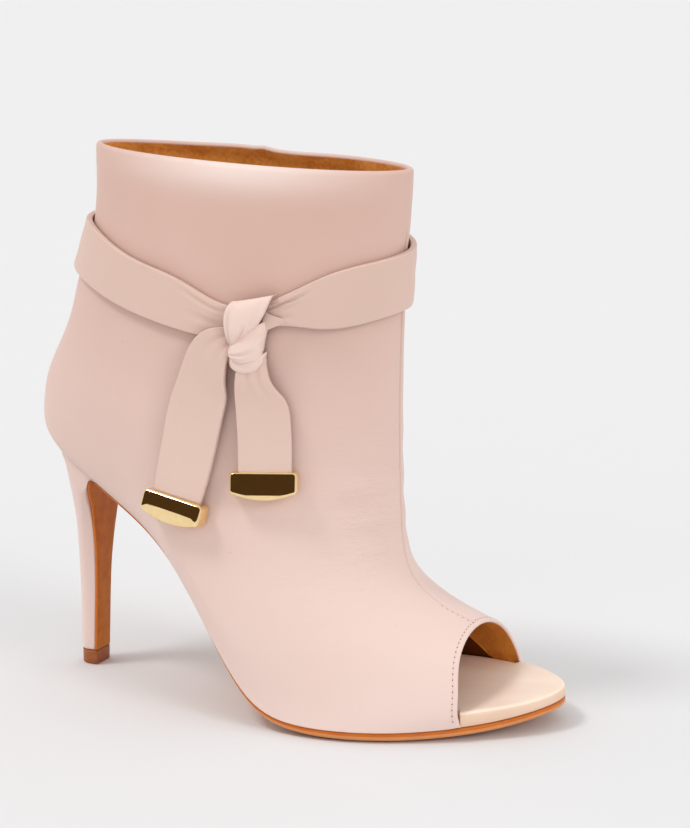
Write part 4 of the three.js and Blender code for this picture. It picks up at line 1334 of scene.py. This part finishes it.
# %% Knot
KNOT_OVER = [
    (80.0, 150.0, 91.5, 153.2, 0.6, 2.0),
    (77.4, 150.6, 91.4, 153.5, 3.6, 2.2),
    (75.6, 147.6, 90.2, 150.4, 5.4, 2.4),
    (75.2, 143.4, 88.6, 146.4, 6.0, 2.4),
    (75.8, 139.0, 86.2, 142.6, 5.8, 2.4),
    (76.6, 136.0, 82.8, 139.4, 4.8, 2.2),
    (77.6, 133.8, 79.8, 136.6, 3.0, 1.8),
]
KNOT_UNDER = [
    (89.6, 144.2, 87.4, 132.6, 0.6, 2.0),
    (87.6, 143.8, 86.8, 131.0, 3.2, 2.2),
    (84.2, 141.8, 83.6, 129.6, 4.8, 2.4),
    (80.6, 138.8, 80.4, 129.2, 5.0, 2.4),
    (77.4, 136.0, 77.2, 130.2, 4.0, 2.2),
    (75.6, 134.0, 75.2, 131.4, 1.4, 1.8),
]
KNOT_RIM = [
    (88.6, 133.4, 88.4, 129.8, 0.6, 1.6),
    (87.4, 132.6, 87.2, 127.8, 2.6, 2.0),
    (84.0, 131.4, 83.8, 126.0, 3.6, 2.2),
    (80.4, 131.0, 80.2, 125.6, 3.6, 2.2),
    (77.2, 131.6, 76.8, 127.0, 2.8, 2.0),
    (75.6, 131.6, 75.2, 129.0, 1.0, 1.6),
]
KNOT_FACET = [
    (88.6, 147.6, 85.6, 138.4, 2.4, 1.8),
    (90.8, 146.6, 88.6, 140.6, 2.4, 1.8),
    (93.6, 145.6, 92.6, 142.6, 1.6, 1.6),
    (96.4, 144.6, 96.2, 143.6, 0.5, 1.2),
]
KNOT_FLATS = 24
knot_strips = [
    strip_points(KNOT_OVER, 60, KNOT_FLATS, 1.5,
                 [(0.14, 0.3, 0.95, 0.045, 0.6), (0.62, 0.6, 0.9, 0.05, 0.55), (0.85, 0.25, 0.6, 0.06, 0.3)]),
    strip_points(KNOT_UNDER, 60, KNOT_FLATS, 1.3,
                 [(0.7, 0.35, 0.9, 0.06, 0.5), (0.4, 0.0, 0.3, 0.06, 0.5)]),
    strip_points(KNOT_RIM, 60, KNOT_FLATS, 0.8, [(0.45, 0.0, 0.3, 0.1, 0.35)]),
    strip_points(KNOT_FACET, 30, KNOT_FLATS, 0.3),
]


def join_strips(strips, flats, outer_finishes):
    """Several strips as the points, quads and finishes of one mesh."""
    points, faces, parts, count = [], [], [], 0
    for strip, outer_finish in zip(strips, outer_finishes):
        rows_, columns_ = strip.shape[:2]
        quads = tube_faces(rows_, columns_)
        # Faces towards the boot take the painted shade finish.
        shaded_faces = painted_shade_faces(quads, rows_ - 1, flats)
        parts.append(np.where(shaded_faces == 0, outer_finish, shaded_faces))
        faces.append(quads + count)
        points.append(strip.reshape(-1, 3))
        count += rows_ * columns_
    return np.concatenate(points), np.concatenate(faces), np.concatenate(parts)


knot_points, knot_faces, knot_part = join_strips(knot_strips, KNOT_FLATS, (0, 0, 0, 2))
# The knot's wraps take the lighter copy as painted light; the facet keeps the strap's own leather.
add_piece("knot_wraps", knot_points, knot_faces, [knot_painted_light, strap_painted_shade, strap_leather], "strap_leather",
          knot_part, "strap_knot")

# %% [markdown]
# ## Metal tips
# Each tail ends in a cast cap that is pressed onto the leather. It is straight above and bowed below,
# with soft edges and a slightly domed face. The dome matters more than its height suggests: it spreads
# the dark and bright parts of the room over the face, as polished metal does.

# %% Metal tips
METAL_LENGTH = 24
METAL_HEIGHT = 10
METAL_THICKNESS = 5.4
METAL_GRIP = 2
METAL_EDGE = 0.8
TAIL_LIFT = 1.8
QUARTER = np.linspace(0, math.pi / 2, 6)
TIP_TILTS = (math.radians(0.5), math.radians(8))
FACE_BOWS = (1.0, 0.5)
TAIL_ENDS = table("back_along back_up front_along front_up above_back above_up above_front above_front_up", [
    (0.3, 0.403, 0.394, 0.383, 0.312, 0.48, 0.407, 0.47),
    (0.456, 0.446, 0.549, 0.45, 0.452, 0.53, 0.54, 0.53),
])


def tail_end(i):
    """Middle of a tail's end, with directions across it, up it and out of it."""
    end = rows_of(TAIL_ENDS)[i]
    lift = GAP + TAIL_LIFT + STRAP_THICKNESS / 2
    back = side_point(sole_x(end["back_along"]), end["back_up"] * BOOT_HEIGHT, lift)
    front = side_point(sole_x(end["front_along"]), end["front_up"] * BOOT_HEIGHT, lift)
    centre = side_point(sole_x((end["back_along"] + end["front_along"]) / 2),
                        (end["back_up"] + end["front_up"]) / 2 * BOOT_HEIGHT, lift)
    above = side_point(sole_x((end["above_back"] + end["above_front"]) / 2),
                       (end["above_up"] + end["above_front_up"]) / 2 * BOOT_HEIGHT, lift)
    across = unit(front - back)
    outward = unit(np.cross(across, above - centre))
    return centre, across, np.cross(outward, across), outward


def tip_outline(inset, radius=1.6, bow=2.0, steps=7):
    """Outline of a tip's face: straight above, bowed below, with round corners."""
    half, top, foot = METAL_LENGTH / 2 - inset, METAL_GRIP - inset, METAL_GRIP - METAL_HEIGHT + inset
    radius = max(radius - inset, 0.3)

    def corner(side, height, quarter):
        angle = math.pi / 2 * (np.linspace(0, 1, steps) + quarter)
        x = side * (half - radius) + radius * np.cos(angle)
        return np.stack([x, height + radius * np.sin(angle)], -1)

    high, low = top - radius, foot + bow + radius
    shares = np.linspace(-1, 1, 15)[1:-1]
    below = np.stack([shares * (half - radius), foot + bow * shares ** 2], -1)
    above = [corner(1, high, 0), corner(-1, high, 1)]
    return np.concatenate([*above, corner(-1, low, 2), below, corner(1, low, 3)])


def metal_tip(i):
    centre, across, up, outward = tail_end(i)
    deep = METAL_THICKNESS / 2
    insets, sunk = METAL_EDGE * (1 - np.sin(QUARTER)), METAL_EDGE * (1 - np.cos(QUARTER)) - deep
    layers = [np.insert(tip_outline(inset), 2, depth, axis=1)
              for inset, depth in [*zip(insets, sunk), *zip(insets[::-1], -sunk[::-1])]]
    middle = METAL_GRIP - METAL_HEIGHT / 2
    for start, depth in ((layers[-1], deep), (layers[0], -deep)):
        # The face closes on a level line along its middle, so that it stays flat.
        line = start * np.array([0.8, 0, 0]) + np.array([0, middle, depth])
        fill = [between(start, line, share_) for share_ in np.linspace(0, 1, 9)[1:]]
        layers = [*layers, *fill] if depth > 0 else [*fill[::-1], *layers]
    local = np.stack(layers)
    tilt = TIP_TILTS[i]
    bow = FACE_BOWS[i] * (1 - ((local[..., 1] - middle) / METAL_HEIGHT * 2) ** 2) * np.sign(local[..., 2])
    local[..., 2] += bow - math.tan(tilt) * (local[..., 1] - middle)
    return centre + local[..., :1] * across + local[..., 1:2] * up + local[..., 2:] * outward


for i, (name, node) in enumerate([("rear_cap", "strap_tip_rear"), ("front_cap", "strap_tip_front")]):
    points = metal_tip(i)
    add_piece(name, points, grid_faces(*points.shape[:2], False, True), [tip_metal], "tip_metal",
              stands_for=node, sharp=38)

# %% [markdown]
# ## Studio
# The boot stands on a pale floor in a white room. Light comes from above, from both sides and from the
# camera. A photographer holds a brown card beside the lens, so that polished metal shows a dark face
# between bright edges. Only the light from above is mirrored, because the others would fill that face.

# %% Floor, room and lights
floor_finish = Finish("pale_floor", {"Roughness": 0.9, "Specular IOR Level": 0.1})
speckle = floor_finish.noise(floor_finish.place(), 30, detail=1.0)
floor_finish.set({"Base Color": floor_finish.mixed(speckle, (0.755, 0.755, 0.76), (0.76, 0.76, 0.765))})
floor_mesh = bpy.data.meshes.new("floor")
SPAN = 30
floor_corners = [(-SPAN, -SPAN, 0), (SPAN, -SPAN, 0), (SPAN, SPAN, 0), (-SPAN, SPAN, 0)]
floor_mesh.from_pydata(floor_corners, [], [(0, 1, 2, 3)])
floor_mesh.materials.append(floor_finish.material)
floor = bpy.data.objects.new("floor", floor_mesh)
bpy.context.collection.objects.link(floor)

room = bpy.data.worlds.new("room")
bpy.context.scene.world = room
room.use_nodes = True
sky = Tree(room.node_tree)
facing = sky.node("ShaderNodeTexCoord", output="Generated")
DARK_CARD = unit(np.array([-0.17, -0.92, 0.31]))
toward_card = sky.node("ShaderNodeVectorMath", {"operation": "DOT_PRODUCT"},
                       {0: facing, 1: tuple(DARK_CARD)}, output="Value")
card = sky.ramp(toward_card, 0.75, 0.84)
background = room.node_tree.nodes["Background"]
sky.feed(background.inputs["Color"], sky.mixed(card, (1.0, 1.0, 1.0), (0.085, 0.05, 0.022)))
background.inputs["Strength"].default_value = 0.77


def add_sun(name, toward, strength, spread_degrees, mirrored=False):
    sun = bpy.data.objects.new(name, bpy.data.lights.new(name, "SUN"))
    sun.data.energy = strength
    sun.data.angle = math.radians(spread_degrees)
    sun.rotation_euler = Vector(toward).to_track_quat("-Z", "Y").to_euler()
    sun.visible_glossy = mirrored
    bpy.context.collection.objects.link(sun)


add_sun("key_light", (0.45, 0.4, -1.0), 0.9, 14, mirrored=True)
add_sun("right_light", (-1.0, 0.3, -0.55), 0.75, 20)
add_sun("front_light", (0.1, 1.0, -0.35), 0.8, 60)
add_sun("left_light", (1.0, 0.2, -0.35), 0.32, 60)
print("lights:", len(bpy.data.lights))
